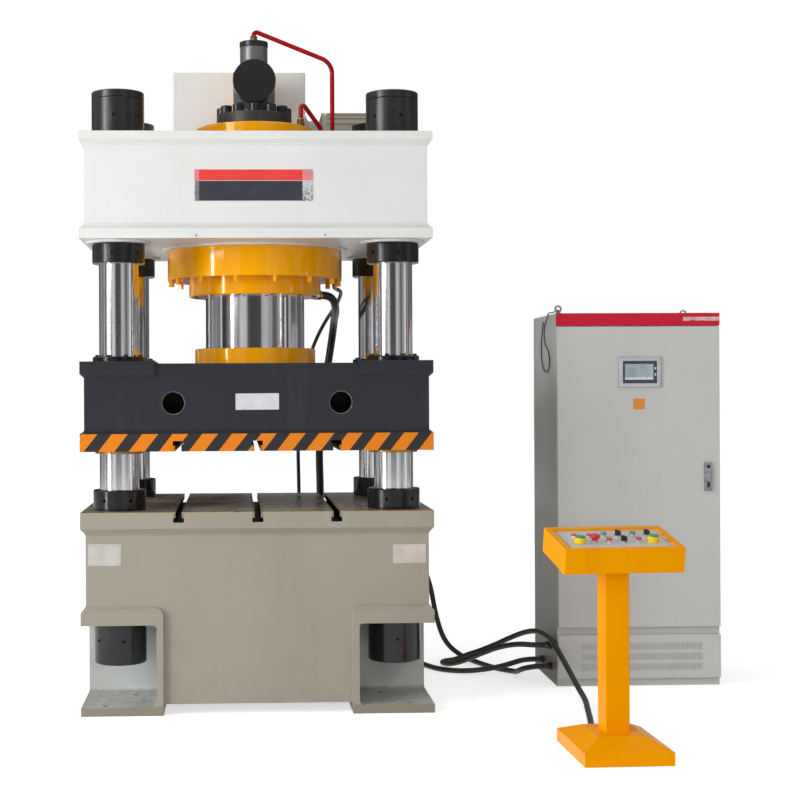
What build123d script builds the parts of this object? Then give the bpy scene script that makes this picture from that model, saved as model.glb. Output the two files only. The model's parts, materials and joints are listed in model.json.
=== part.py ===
from build123d import *
import math
import os

# Four-column hydraulic press with its electrical cabinet and operator's console.
# The origin is on the floor under the middle of the press, +X to the right of the
# operator, +Y away from the operator and +Z up. Lengths are in millimetres.

# Frame of the press
beam_width = 1585.0
beam_depth = 1285.0
column_inset_x = 162.5
column_inset_y = 197.5
column_spacing_x = beam_width - 2 * column_inset_x
column_spacing_y = beam_depth - 2 * column_inset_y
column_diameter = 180.0
column_foot_height = 206.0
column_bore_gap = 2.0
thread_gap = 0.05
running_gap = 0.1

# Bed
table_height = 909.0
table_flange = 74.0
bed_recess = 22.0
bed_bevel = 25.0
bed_clearance = 48.0
foot_width = 368.0
foot_depth = 450.0
foot_wall = 30.0
foot_floor = 38.0
foot_roof_low = 404.0
foot_roof = 56.0
niche_corner = 18.0
anchor_hole = 28.0
anchor_outer = (beam_width / 2 - 107.5, beam_depth / 2 - 46.5)
anchor_inner = (beam_width / 2 - 225.5, beam_depth / 2 - 305.5)

# T-slots of the bed and the slide
slot_pitch = 354.0
slot_throat = 28.0
slot_throat_depth = 26.0
slot_head = 48.0
slot_head_depth = 20.0

# Crown
crown_low = 2135.0
crown_high = 2615.0
crown_recess = 22.0
crown_top_flange = 37.0
crown_low_flange = 44.0
crown_bevel = 20.0
pad_height = 10.0
pad_margin = 28.0
platform_reach = 300.0
platform_plate = 22.0
gusset_height = 240.0

# Round nuts of the columns
nut_diameter = 240.0
inner_nut_height = 92.0
lower_nut_height = 192.0
top_nut_height = 171.0
cap_height = 32.0
nut_chamfer = 4.0
spanner_hole = 15.0
spanner_depth = 22.0
spanner_count = 6
lower_hole_drop = 83.0
lower_hole_turns = (41.0, 12.0, 31.0, 52.0)
table_hole_turns = (59.0, 20.0, 9.0, 35.0)
crown_hole_turns = (20.0, 47.0, 37.0, 5.0)
top_hole_turns = (25.0, 8.0, 44.0, 30.0)

# Main cylinder and ram
cylinder_flange_diameter = 847.0
cylinder_flange_height = 140.0
cylinder_body_diameter = 640.0
cylinder_boss_diameter = 568.0
cylinder_boss_top = crown_high + 105.0
cylinder_bore = 500.0
bore_top = crown_high - 100.0
boss_step = crown_high - 60.0
inlet_bore = 140.0
bolt_circle = 812.0
bolt_count = 14
bolt_head = 27.0
gland_diameter = 640.0
gland_height = 80.0
guide_bush_wall = 30.0
guide_bush_length = 80.0
packing_wall = 20.0
packing_height = 50.0
ram_diameter = 480.0
piston_low = 2230.0
piston_height = 80.0
piston_groove = 12.0
groove_depth = 8.0
ram_flange_diameter = 585.0
ram_flange_height = 78.0

# Slide
slide_low = 1181.0
slide_top = 1575.0
slide_recess = 18.0
slide_flange = 79.0
slide_bevel = 13.0
corner_plate = 334.0
corner_plate_height = 56.0
corner_plate_rise = 10.0
corner_bevel = 17.0
lightening_hole = 100.0
lightening_pitch = 752.0
lightening_height = 1397.0
lightening_depth = 130.0
bush_wall = 20.0
bush_drop = 14.0
guide_cap_height = 24.0

# Filling valve on top of the cylinder
valve_flange_diameter = 366.0
valve_flange_height = 68.0
valve_screw_circle = 310.0
valve_screw_count = 12
valve_screw_head = 54.0
valve_screw_height = 38.0
valve_body_diameter = 204.0
valve_throat_diameter = 150.0
valve_neck_diameter = 134.0
valve_neck_top = cylinder_boss_top + 401.0
valve_cap_height = 28.0
valve_axis_height = cylinder_boss_top + 217.0
cover_diameter = 206.0
cover_thickness = 26.0
cover_front = 150.0

# Oil tank, pump and motor
tank_left = -410.0
tank_right = 266.0
tank_front = 350.0
tank_back = 860.0
tank_top = 3072.0
tank_wall = 5.0
tank_lid = 8.0
motor_radius = 130.0
motor_axis_y = 745.0
motor_axis_height = 2804.0
motor_length = 330.0
bell_length = 120.0
terminal_box = 90.0
pump_radius = 75.0
pump_spigot = 44.0
pump_length = 230.0
suction_wall = 26.0

# Electrical cabinet
cabinet_left = 1466.0
cabinet_front = -79.0
cabinet_width = 800.0
cabinet_depth = 600.0
cabinet_height = 1820.0
cabinet_wall = 3.0
cabinet_return = 30.0
plinth_height = 40.0
header_height = 62.0
door_thickness = 22.0
door_gap = 3.5
door_low = 290.0
vent_low = 40.0
vent_high = 252.0
hinge_inset = 6.0
hinge_pin = 8.0
hinge_count = 3
louvre_rows = 3
louvre_columns = 22
screen_width = 211.0
screen_height = 147.0
screen_centre = (405.0, 1532.0)
lock_width = 39.0
lock_height = 142.0
lock_centre = (739.0, 1021.0)
eye_inset_x = 20.0
eye_inset_y = 40.0

# Operator's console
console_x = 1405.0
console_y = -1462.0
base_turn = 1.5
head_turn = 5.5
base_width = 352.0
base_depth = 476.0
base_edge = 52.0
base_top = 92.0
plateau_width = 190.0
plateau_depth = 240.0
post_side = 100.0
head_width = 486.0
head_depth = 300.0
head_height = 100.0
head_tilt = 12.0
head_middle = 811.0
head_wall = 3.0
head_rim = 26.0
post_wall = 4.0
panel_drop = 8.0
panel_seat = 9.0
panel_thickness = 3.0
control_pitch = 60.0
control_row_pitch = 76.0
control_hole = 22.5

# Junction box on the back of the bed, and the conduit that climbs from it
box_x = (600.0, 768.0)
box_z = (500.0, 700.0)
box_depth = 90.0
conduit_x = 744.0
conduit_diameter = 32.0

# Glands and flexible lines
gland_thread = 25.0
gland_length = 36.0
hose_union = 34.0
union_reach = 399.3
union_height = 1929.0
union_angle = 34.0
drain_port = (390.0, 86.7)
hose_end_y = 716.0
hose_end_height = 840.0
cable_diameter = 27.0
main_hose_diameter = 40.0
drain_hose_diameter = 19.0
tie_cord_diameter = 6.0


def block(x, y, z):
    """Box between two values on each axis."""
    size = [span[1] - span[0] for span in (x, y, z)]
    middle = [(span[0] + span[1]) / 2 for span in (x, y, z)]
    return Pos(*middle) * Box(*size)


def rod(diameter, low, high):
    """Upright cylinder on the Z axis."""
    return Pos(0, 0, (low + high) / 2) * Cylinder(diameter / 2, high - low)


def turned(*points):
    """Solid turned about the Z axis from radius and height pairs."""
    return revolve(Plane.XZ * make_face(Polyline(*points, close=True)), Axis.Z)


def at_columns(shape, turns=(0, 0, 0, 0)):
    """One copy of a shape at each column, each turned about its own axis."""
    places = [(sx, sy) for sx in (-1, 1) for sy in (-1, 1)]
    return [Pos(sx * column_spacing_x / 2, sy * column_spacing_y / 2, 0) * Rot(0, 0, turn) * shape
            for (sx, sy), turn in zip(places, turns)]


def around(shape, radius, count, start=0.0):
    """Copies of a shape on a circle about the Z axis."""
    return [Rot(0, 0, start + 360.0 * i / count) * Pos(radius, 0, 0) * shape for i in range(count)]


def sloped(width, depth, z, height, inset, up):
    """Frustum from a rectangle at z that loses inset on each side over its height."""
    angle = math.degrees(math.atan2(inset, height))
    return extrude(Pos(0, 0, z) * Rectangle(width, depth), height, dir=(0, 0, up), taper=angle)


def tee_slots(face, inward):
    """Cutter for the T-slots along Y that open at a face."""
    throat = slot_throat / 2
    head = slot_head / 2
    mouth = face - inward
    shoulder = face + inward * slot_throat_depth
    floor = shoulder + inward * slot_head_depth
    outline = Polyline(
        (-throat, mouth), (-throat, shoulder), (-head, shoulder), (-head, floor),
        (head, floor), (head, shoulder), (throat, shoulder), (throat, mouth), close=True)
    slot = extrude(Plane.XZ * make_face(outline), beam_depth, both=True)
    return [Pos(i * slot_pitch, 0, 0) * slot for i in (-1, 0, 1)]


# Bed

def make_bed():
    wall_width = beam_width - 2 * bed_recess
    wall_depth = beam_depth - 2 * bed_recess
    flange_low = table_height - table_flange
    bed = block((-wall_width / 2, wall_width / 2), (-wall_depth / 2, wall_depth / 2),
                (bed_clearance, flange_low))
    bed += block((-beam_width / 2, beam_width / 2), (-beam_depth / 2, beam_depth / 2),
                 (flange_low, table_height))
    bed += sloped(beam_width, beam_depth, flange_low, bed_bevel, bed_recess, -1)
    bed -= four_corners(bed_foot_form())
    bed -= at_columns(rod(column_diameter + column_bore_gap, foot_roof_low, table_height + 1))
    bed -= tee_slots(table_height, -1)
    return bed


def bed_foot_form():
    """Outer form of the foot at the back right corner."""
    roof_high = foot_roof_low + foot_roof
    foot = block((-foot_width / 2, foot_width / 2), (-foot_depth / 2, foot_depth / 2), (0, roof_high))
    foot += sloped(foot_width, foot_depth, roof_high, bed_recess, bed_recess, 1)
    return Pos((beam_width - foot_width) / 2, (beam_depth - foot_depth) / 2, 0) * foot


def four_corners(shape):
    """A shape at the back right corner and its mirror images at the other three."""
    right = [shape, mirror(shape, Plane.XZ)]
    return right + [mirror(item, Plane.YZ) for item in right]


def make_bed_feet():
    """Floor, roof and two wall plates under each column, with their foundation-bolt holes."""
    niche = block((beam_width / 2 - foot_width + foot_wall, beam_width),
                  (beam_depth / 2 - foot_depth + foot_wall, beam_depth),
                  (foot_floor, foot_roof_low))
    inner_edges = niche.edges().filter_by(Axis.Y).group_by(Axis.X)[0]
    inner_edges += niche.edges().filter_by(Axis.X).group_by(Axis.Y)[0]
    inner_edges += niche.edges().filter_by(Axis.Z).group_by(Axis.X)[0].sort_by(Axis.Y)[:1]
    niche = fillet(inner_edges, niche_corner)
    bore = rod(column_diameter + column_bore_gap, foot_roof_low - 1, table_height)
    foot = bed_foot_form() - niche - Pos(column_spacing_x / 2, column_spacing_y / 2, 0) * bore
    foot -= [Pos(x, y, 0) * rod(anchor_hole, -1, foot_floor + 1) for x, y in (anchor_outer, anchor_inner)]
    seam = beam_width / 2 - foot_width + foot_wall + niche_corner
    whole_x = (0, beam_width)
    whole_y = (0, beam_depth)
    wall_z = (foot_floor, foot_roof_low)
    spaces = [block(whole_x, whole_y, (0, foot_floor)), block(whole_x, whole_y, (foot_roof_low, table_height)),
              block((0, seam), whole_y, wall_z), block((seam, beam_width), whole_y, wall_z)]
    return [plate for space in spaces for plate in four_corners(foot & space)]


# Columns and their nuts

inner_nut_low = table_height
crown_nut_high = crown_low - pad_height
crown_nut_low = crown_nut_high - inner_nut_height
top_nut_low = crown_high
top_nut_high = top_nut_low + top_nut_height
lower_nut_low = foot_roof_low - lower_nut_height


def make_columns():
    edge = nut_chamfer
    radius = column_diameter / 2
    column = turned((0, column_foot_height), (radius - edge, column_foot_height),
                    (radius, column_foot_height + edge), (radius, top_nut_high), (0, top_nut_high))
    return at_columns(column)


def round_nut(low, high, hole_height):
    """Round nut with radial spanner holes and a thread that hugs the column."""
    outer = nut_diameter / 2
    inner = column_diameter / 2 + thread_gap
    nut = turned((inner, low), (outer - nut_chamfer, low), (outer, low + nut_chamfer),
                 (outer, high - nut_chamfer), (outer - nut_chamfer, high), (inner, high))
    hole = Rot(0, 90, 0) * Cylinder(spanner_hole / 2, 2 * spanner_depth)
    return nut - around(Pos(0, 0, hole_height) * hole, outer, spanner_count)


def make_inner_nuts():
    low = round_nut(inner_nut_low, inner_nut_low + inner_nut_height, inner_nut_low + inner_nut_height / 2)
    high = round_nut(crown_nut_low, crown_nut_high, crown_nut_low + inner_nut_height / 2)
    return at_columns(low, table_hole_turns) + at_columns(high, crown_hole_turns)


def make_lock_nuts():
    """Long nuts at the ends of the columns, under the bed and on top of the crown."""
    low = round_nut(lower_nut_low, foot_roof_low, foot_roof_low - lower_hole_drop)
    high = round_nut(top_nut_low, top_nut_high, top_nut_low + top_nut_height / 2)
    return at_columns(low, lower_hole_turns) + at_columns(high, top_hole_turns)


def make_column_caps():
    outer = nut_diameter / 2
    high = top_nut_high + cap_height
    cap = turned((0, top_nut_high), (outer, top_nut_high), (outer, high - nut_chamfer),
                 (outer - nut_chamfer, high), (0, high))
    return at_columns(cap)


# Crown with the platform of the oil tank behind it

def make_crown():
    wall_width = beam_width - 2 * crown_recess
    wall_depth = beam_depth - 2 * crown_recess
    top_low = crown_high - crown_top_flange
    low_high = crown_low + crown_low_flange
    crown = block((-wall_width / 2, wall_width / 2), (-wall_depth / 2, wall_depth / 2), (low_high, top_low))
    for low, high in ((crown_low, low_high), (top_low, crown_high)):
        crown += block((-beam_width / 2, beam_width / 2), (-beam_depth / 2, beam_depth / 2), (low, high))
    crown += sloped(beam_width, beam_depth, top_low, crown_bevel, crown_recess, -1)
    crown += sloped(beam_width, beam_depth, low_high, crown_bevel, crown_recess, 1)
    pad = rod(nut_diameter + 2 * pad_margin, crown_nut_high, crown_low + 1)
    crown += at_columns(pad)
    crown += rod(cylinder_flange_diameter + 2 * pad_margin, crown_nut_high, crown_low + 1)
    back = beam_depth / 2
    crown += block((-beam_width / 2, beam_width / 2), (back, back + platform_reach),
                   (crown_high - platform_plate, crown_high))
    rib = Polyline((back - crown_recess, crown_high - platform_plate),
                   (back + platform_reach - platform_plate, crown_high - platform_plate),
                   (back - crown_recess, crown_high - gusset_height), close=True)
    gusset = extrude(Plane.YZ * make_face(rib), platform_plate / 2, both=True)
    crown += [Pos(i * beam_width / 3, 0, 0) * gusset for i in (-1, 0, 1)]
    crown -= at_columns(rod(column_diameter + column_bore_gap, crown_low - pad_height - 1, crown_high + 1))
    crown -= rod(cylinder_body_diameter + column_bore_gap, crown_nut_high - 1, boss_step)
    crown -= rod(cylinder_boss_diameter + column_bore_gap, boss_step - 1, crown_high + 1)
    crown -= Pos(conduit_x, conduit_y, 0) * rod(conduit_diameter + column_bore_gap,
                                                crown_high - platform_plate - 1, crown_high + 1)
    return crown


# Main cylinder, its gland and the ram

flange_low = crown_nut_high - cylinder_flange_height
gland_low = flange_low - gland_height
bush_outer = ram_diameter / 2 + running_gap + guide_bush_wall
packing_outer = ram_diameter / 2 + running_gap + packing_wall
packing_low = gland_low + (gland_height - packing_height) / 2


def make_main_cylinder():
    bore = cylinder_bore / 2
    bush_top = flange_low + guide_bush_length
    cylinder = turned(
        (bush_outer, flange_low), (cylinder_flange_diameter / 2, flange_low),
        (cylinder_flange_diameter / 2, crown_nut_high), (cylinder_body_diameter / 2, crown_nut_high),
        (cylinder_body_diameter / 2, boss_step), (cylinder_boss_diameter / 2, boss_step),
        (cylinder_boss_diameter / 2, cylinder_boss_top - nut_chamfer),
        (cylinder_boss_diameter / 2 - nut_chamfer, cylinder_boss_top),
        (inlet_bore / 2, cylinder_boss_top), (inlet_bore / 2, bore_top), (bore, bore_top),
        (bore, bush_top), (bush_outer, bush_top))
    return cylinder


def make_cylinder_bolts():
    """Hexagon heads under the cylinder flange."""
    head = Pos(0, 0, flange_low - bolt_head) * extrude(RegularPolygon(bolt_head / 2, 6), bolt_head)
    return around(head, bolt_circle / 2, bolt_count)


def make_gland_ring():
    inner = ram_diameter / 2 + 1.0
    packing_high = packing_low + packing_height
    return turned(
        (inner, gland_low), (gland_diameter / 2 - nut_chamfer, gland_low),
        (gland_diameter / 2, gland_low + nut_chamfer), (gland_diameter / 2, flange_low), (inner, flange_low),
        (inner, packing_high), (packing_outer, packing_high), (packing_outer, packing_low),
        (inner, packing_low))


def make_ram_guide_bush():
    inner = ram_diameter / 2 + running_gap
    return turned((inner, flange_low), (bush_outer, flange_low), (bush_outer, flange_low + guide_bush_length),
                  (inner, flange_low + guide_bush_length))


def make_gland_packing():
    inner = ram_diameter / 2 + running_gap
    return turned((inner, packing_low), (packing_outer, packing_low),
                  (packing_outer, packing_low + packing_height), (inner, packing_low + packing_height))


def piston_grooves():
    """Heights of the lower edges of the two seal grooves."""
    return [piston_low + piston_height * share - piston_groove / 2 for share in (0.3, 0.7)]


def make_ram():
    radius = ram_diameter / 2
    piston = cylinder_bore / 2 - 2 * running_gap
    high = piston_low + piston_height
    ram = turned((0, slide_top), (radius, slide_top), (radius, piston_low), (piston, piston_low),
                 (piston, high - nut_chamfer), (piston - nut_chamfer, high), (0, high))
    for low in piston_grooves():
        ram -= turned((piston - groove_depth, low), (piston + 1, low), (piston + 1, low + piston_groove),
                      (piston - groove_depth, low + piston_groove))
    return ram


def make_piston_seals():
    outer = cylinder_bore / 2 - running_gap
    inner = cylinder_bore / 2 - 2 * running_gap - groove_depth
    return [turned((inner, low), (outer, low), (outer, low + piston_groove), (inner, low + piston_groove))
            for low in piston_grooves()]


def make_ram_flange():
    inner = ram_diameter / 2 + thread_gap
    outer = ram_flange_diameter / 2
    high = slide_top + ram_flange_height
    return turned((inner, slide_top), (outer, slide_top), (outer, high - nut_chamfer),
                  (outer - nut_chamfer, high), (inner, high))


# Slide

slide_high = slide_top + corner_plate_rise


def make_slide_beam():
    wall_width = beam_width - 2 * slide_recess
    wall_depth = beam_depth - 2 * slide_recess
    flange_high = slide_low + slide_flange
    slide = block((-wall_width / 2, wall_width / 2), (-wall_depth / 2, wall_depth / 2),
                  (flange_high, slide_top))
    slide += block((-beam_width / 2, beam_width / 2), (-beam_depth / 2, beam_depth / 2),
                   (slide_low, flange_high))
    slide += sloped(beam_width, beam_depth, flange_high, slide_bevel, slide_recess, 1)
    plate_low = slide_high - corner_plate_height
    plate = block((-corner_plate / 2, corner_plate / 2), (-corner_plate / 2, corner_plate / 2),
                  (plate_low, slide_high))
    plate += sloped(corner_plate, corner_plate, plate_low, corner_bevel, corner_bevel, -1)
    plate_x = beam_width / 2 - corner_plate / 2
    plate_y = beam_depth / 2 - corner_plate / 2
    for sx in (-1, 1):
        for sy in (-1, 1):
            slide += Pos(sx * plate_x, sy * plate_y, 0) * plate
    slide -= at_columns(rod(column_diameter + 2 * (running_gap + bush_wall), slide_low - 1, slide_high + 1))
    hole = Rot(90, 0, 0) * Cylinder(lightening_hole / 2, 2 * lightening_depth)
    for sx in (-1, 1):
        for sy in (-1, 1):
            slide -= Pos(sx * lightening_pitch / 2, sy * wall_depth / 2, lightening_height) * hole
    slide -= tee_slots(slide_low, 1)
    return slide


def make_slide_bushes():
    inner = column_diameter / 2 + running_gap
    outer = inner + bush_wall
    low = slide_low - bush_drop
    return at_columns(turned((inner, low), (outer, low), (outer, slide_high), (inner, slide_high)))


def make_guide_caps():
    """Wiper rings that close the guide bushes on top of the slide."""
    inner = column_diameter / 2 + running_gap
    outer = nut_diameter / 2
    high = slide_high + guide_cap_height
    edge = nut_chamfer
    return at_columns(turned((inner, slide_high), (outer, slide_high), (outer, high - edge),
                             (outer - edge, high), (inner, high)))


# Filling valve on top of the cylinder

valve_flange_high = cylinder_boss_top + valve_flange_height
valve_body_low = valve_flange_high + 60.0
valve_body_high = valve_axis_height + cover_diameter / 2 - 20.0


def make_filling_valve():
    body = valve_body_diameter / 2
    throat = valve_throat_diameter / 2
    neck = valve_neck_diameter / 2
    inlet = inlet_bore / 2
    profile = Polyline((inlet, cylinder_boss_top), (valve_flange_diameter / 2, cylinder_boss_top),
                       (valve_flange_diameter / 2, valve_flange_high), (throat, valve_flange_high),
                       (throat, valve_flange_high + 12.0))
    swell = Spline((throat, valve_flange_high + 12.0), (body, valve_body_low + 20.0),
                   tangents=((0, 1), (0, 1)))
    rest = Polyline((body, valve_body_low + 20.0), (body, valve_body_high - 20.0), (neck, valve_body_high),
                    (neck, valve_neck_top), (0, valve_neck_top), (0, valve_flange_high + 12.0),
                    (inlet, valve_flange_high + 12.0), (inlet, cylinder_boss_top))
    valve = revolve(Plane.XZ * make_face(profile + swell + rest), Axis.Z)
    branch = Rot(90, 0, 0) * Cylinder(valve_body_diameter / 2, 2 * (cover_front - cover_thickness))
    valve += Pos(0, 0, valve_axis_height) * branch
    screw_hole = rod(valve_screw_head * 0.7, cylinder_boss_top - 1, valve_flange_high + 1)
    valve -= around(screw_hole, valve_screw_circle / 2, valve_screw_count)
    return valve


def make_valve_screws():
    """Socket screws with their shanks through the valve flange."""
    head = valve_screw_head / 2
    shank = valve_screw_head * 0.7 / 2 - thread_gap
    high = valve_flange_high + valve_screw_height
    screw = turned((0, cylinder_boss_top), (shank, cylinder_boss_top), (shank, valve_flange_high),
                   (head, valve_flange_high), (head, high - 3.0), (head - 3.0, high), (0, high))
    socket = Pos(0, 0, high - valve_screw_height / 2) * extrude(RegularPolygon(head / 2, 6), valve_screw_height)
    return around(screw - socket, valve_screw_circle / 2, valve_screw_count)


def make_valve_covers():
    """Round cover on the front branch and cap on the neck."""
    front = -cover_front + cover_thickness / 2
    cover = Pos(0, front, valve_axis_height) * Rot(90, 0, 0) * Cylinder(cover_diameter / 2, cover_thickness)
    radius = valve_neck_diameter / 2 + 2.0
    cap = rod(2 * radius, valve_neck_top, valve_neck_top + valve_cap_height)
    return [chamfer(cover.edges(), 2.0), chamfer(cap.edges(), 2.0)]


def make_suction_pipe():
    """Short pipe with a flange at each end, from the valve's back branch to the tank."""
    start = cover_front - cover_thickness
    reach = tank_front - start
    flange = 22.0
    outer = valve_body_diameter / 2
    bore = outer - suction_wall
    pipe = (outer + bore) / 2
    shape = turned((bore, 0), (outer, 0), (outer, flange), (pipe, flange), (pipe, reach - flange),
                   (outer, reach - flange), (outer, reach), (bore, reach))
    return Pos(0, start, valve_axis_height) * Rot(-90, 0, 0) * shape


# Pilot pipes, their fittings and the block they run to

pilot_pipe = 22.0
block_x = (300.0, 440.0)
block_y = (-70.0, 90.0)
block_high = crown_high + 66.0
port_a = (0.0, 0.0)
port_b = (222.0, -150.0)
fitting_height = 34.0
pipe_entry = 14.0
cap_high = valve_neck_top + valve_cap_height


def bent_pipe(points, radii, diameter):
    """Round bar along straight runs joined by bends."""
    path = FilletPolyline(*points, radius=radii)
    section = Plane(origin=path @ 0, z_dir=path % 0) * Circle(diameter / 2)
    return sweep(section, path=path)


def make_control_pipes():
    start_a = (port_a[0], port_a[1], cap_high + fitting_height - pipe_entry)
    right = (382.0, port_a[1])
    high_a = cap_high + 57.0
    low_a = cap_high - 97.0
    long_pipe = bent_pipe([start_a, (*port_a, high_a), (*right, low_a), (*right, block_high)],
                          [14.0, 80.0], pilot_pipe)
    start_b = (port_b[0], port_b[1], cylinder_boss_top + fitting_height - pipe_entry)
    left = (324.0, -34.0)
    high_b = cylinder_boss_top + 118.0
    low_b = cylinder_boss_top + 3.0
    short_pipe = bent_pipe([start_b, (*port_b, high_b), (*left, low_b), (*left, block_high)],
                           [20.0, 24.0], pilot_pipe)
    return [long_pipe, short_pipe]


def make_pipe_fittings():
    """Brass nut and ferrule of each pilot pipe, and the steel unions of the hoses."""
    fittings = []
    for (x, y), low in ((port_a, cap_high), (port_b, cylinder_boss_top)):
        base = extrude(RegularPolygon(19.0, 6), 16.0)
        nut = Pos(0, 0, 18.0) * extrude(RegularPolygon(17.0, 6), fitting_height - 22.0)
        collar = rod(28.0, 0, fitting_height)
        bore = rod(pilot_pipe, fitting_height - pipe_entry, fitting_height + 1)
        fittings.append(Pos(x, y, low) * (base + nut + collar - bore))
    return fittings + make_hose_unions()


def make_valve_manifold():
    """Drilled block on the crown that carries the pilot valves."""
    body = block(block_x, block_y, (crown_high, block_high))
    body = chamfer(body.edges().filter_by(Axis.Z), 6.0)
    middle_y = (block_y[0] + block_y[1]) / 2
    plug = Rot(0, 90, 0) * Cylinder(11.0, 12.0)
    middle = (crown_high + block_high) / 2
    body += [Pos(block_x[1] + 5.0, middle_y + step, middle) * plug for step in (-45.0, 0.0, 45.0)]
    return body


# Oil tank with its pump and motor

def make_oil_tank():
    """Welded tank with openings for the suction pipe and the pump, and its lid."""
    wall = tank_wall
    corner = 8.0
    outer = block((tank_left, tank_right), (tank_front, tank_back), (crown_high, tank_top - tank_lid))
    inner = block((tank_left + wall, tank_right - wall), (tank_front + wall, tank_back - wall),
                  (crown_high + wall, tank_top))
    tank = fillet(outer.edges().filter_by(Axis.Z), corner) - inner
    port = Rot(90, 0, 0) * Cylinder(valve_body_diameter / 2 - suction_wall, 4 * wall)
    tank -= Pos(0, tank_front, valve_axis_height) * port
    shaft = Rot(0, 90, 0) * Cylinder(pump_spigot + 1.0, 4 * wall)
    tank -= Pos(tank_right, motor_axis_y, motor_axis_height) * shaft
    lid = block((tank_left, tank_right), (tank_front, tank_back), (tank_top - tank_lid, tank_top))
    return [tank, fillet(lid.edges().filter_by(Axis.Z), corner)]


def along_motor(shape, x):
    """Place a shape turned about Z so that it runs along the motor's shaft from x."""
    return Pos(x, motor_axis_y, motor_axis_height) * Rot(0, 90, 0) * shape


bell_start = tank_right
motor_start = tank_right + bell_length


def make_pump_motor():
    """Flanged motor with cooling ribs, foot rails, fan cowl and bell housing."""
    radius = motor_radius
    bell = turned((0, 0), (radius - 12, 0), (radius - 12, 16), (radius - 42, 30), (radius - 42, 92),
                  (radius, 104), (radius, bell_length), (0, bell_length))
    body = turned((0, 0), (radius - 8, 0), (radius - 8, motor_length - 80), (radius, motor_length - 80),
                  (radius, motor_length - 14), (radius - 14, motor_length), (0, motor_length))
    ribs = around(Pos(0, 0, (motor_length - 80) / 2) * Box(16.0, 4.0, motor_length - 96), radius - 8, 20, 9.0)
    motor = along_motor(bell, bell_start) + along_motor(body + ribs, motor_start)
    foot_low = crown_high
    for step in (70.0, motor_length - 110.0):
        x = motor_start + step
        motor += block((x - 25, x + 25), (motor_axis_y - 105, motor_axis_y + 105), (foot_low, foot_low + 18))
        motor += block((x - 8, x + 8), (motor_axis_y - 80, motor_axis_y + 80),
                       (foot_low + 18, motor_axis_height - radius + 30))
    half = terminal_box / 2
    motor += block((terminal_x - half, terminal_x + half), (terminal_y - half, terminal_y + half),
                   (motor_axis_height - half, motor_axis_height + half))
    return motor


terminal_x = motor_start + motor_length / 2 - 30.0
terminal_y = motor_axis_y + motor_radius + terminal_box / 2 - 20.0


def make_oil_pump():
    """Gear pump on the bell housing, inside the tank."""
    flange = 18.0
    barrel = pump_radius - 12.0
    body = turned((0, 0), (pump_spigot, 0), (pump_spigot, tank_wall), (pump_radius, tank_wall),
                  (pump_radius, tank_wall + flange), (barrel, tank_wall + flange),
                  (barrel, pump_length), (0, pump_length))
    return Pos(tank_right, motor_axis_y, motor_axis_height) * Rot(0, -90, 0) * body


# Junction box on the back of the bed, with the riser conduit to the motor

bed_back = beam_depth / 2 - bed_recess
box_y = (bed_back, bed_back + box_depth)
conduit_y = beam_depth / 2 + conduit_diameter


def make_junction_box():
    """Sheet box with its lid, and the conduit that climbs to the motor's terminal box."""
    wall = cabinet_wall
    body = fillet(block(box_x, box_y, box_z).edges().filter_by(Axis.Y), 8.0)
    body -= block((box_x[0] + wall, box_x[1] - wall), (box_y[0] + wall, box_y[1] + 1),
                  (box_z[0] + wall, box_z[1] - wall))
    x, y, z = box_gland_a
    body -= Pos(x, y, z) * Rot(0, 90, 0) * Cylinder(gland_thread / 2, 4 * wall)
    x, y, z = box_gland_b
    body -= Pos(x, y, z) * Cylinder(gland_thread / 2, 4 * wall)
    lid = block((box_x[0] + 1, box_x[1] - 1), (box_y[1], box_y[1] + 2 * wall), (box_z[0] + 1, box_z[1] - 1))
    lid = fillet(lid.edges().filter_by(Axis.Y), 8.0)
    foot = (conduit_x, conduit_y, box_z[1])
    elbow = (conduit_x, conduit_y, motor_axis_height)
    behind = (conduit_x, terminal_y, motor_axis_height)
    terminal = (terminal_x + terminal_box / 2, terminal_y, motor_axis_height)
    riser = bent_pipe([foot, elbow, behind, terminal], [70.0, 70.0], conduit_diameter)
    return [body, lid, riser]


# Electrical cabinet

cabinet_right = cabinet_left + cabinet_width
cabinet_back = cabinet_front + cabinet_depth
body_front = cabinet_front + door_thickness + door_gap
header_low = cabinet_height - header_height
door_high = header_low - door_gap
hinge_x = cabinet_left + hinge_inset
hinge_y = cabinet_front + door_thickness - hinge_inset


def make_cabinet_body():
    """Sheet shell open at the front, with folded returns round the door opening."""
    wall = cabinet_wall
    outer = block((cabinet_left, cabinet_right), (body_front, cabinet_back), (0, cabinet_height))
    inner = block((cabinet_left + wall, cabinet_right - wall), (body_front + wall, cabinet_back - wall),
                  (plinth_height + wall, cabinet_height - wall))
    mouth = block((cabinet_left + cabinet_return, cabinet_right - cabinet_return),
                  (body_front - 1, body_front + wall + 1),
                  (door_low + cabinet_return, header_low - cabinet_return))
    under = block((cabinet_left + wall, cabinet_right - wall), (body_front + wall, cabinet_back - wall),
                  (-1, plinth_height - wall))
    body = outer - inner - mouth - under
    body += block((cabinet_left + cabinet_return, cabinet_right - cabinet_return),
                  (body_front, body_front + 40.0), (door_low - 6.0, door_low + 2 * wall))
    half = hinge_pin / 2
    for z in hinge_heights():
        bracket = block((cabinet_left, hinge_x + half + 3), (hinge_y - half, body_front + 1), (z - 6, z))
        body += bracket + Pos(hinge_x, hinge_y, 0) * rod(hinge_pin, z - 6, z + 22)
    for x, y, z in gland_places():
        body -= Pos(x, y, z) * Rot(0, 90, 0) * Cylinder(gland_thread / 2, 4 * wall)
    return body


def hinge_heights():
    """Heights of the hinge brackets, evenly along the door."""
    span = door_high - door_low
    return [door_low + span * (i + 0.5) / hinge_count for i in range(hinge_count)]


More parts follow.
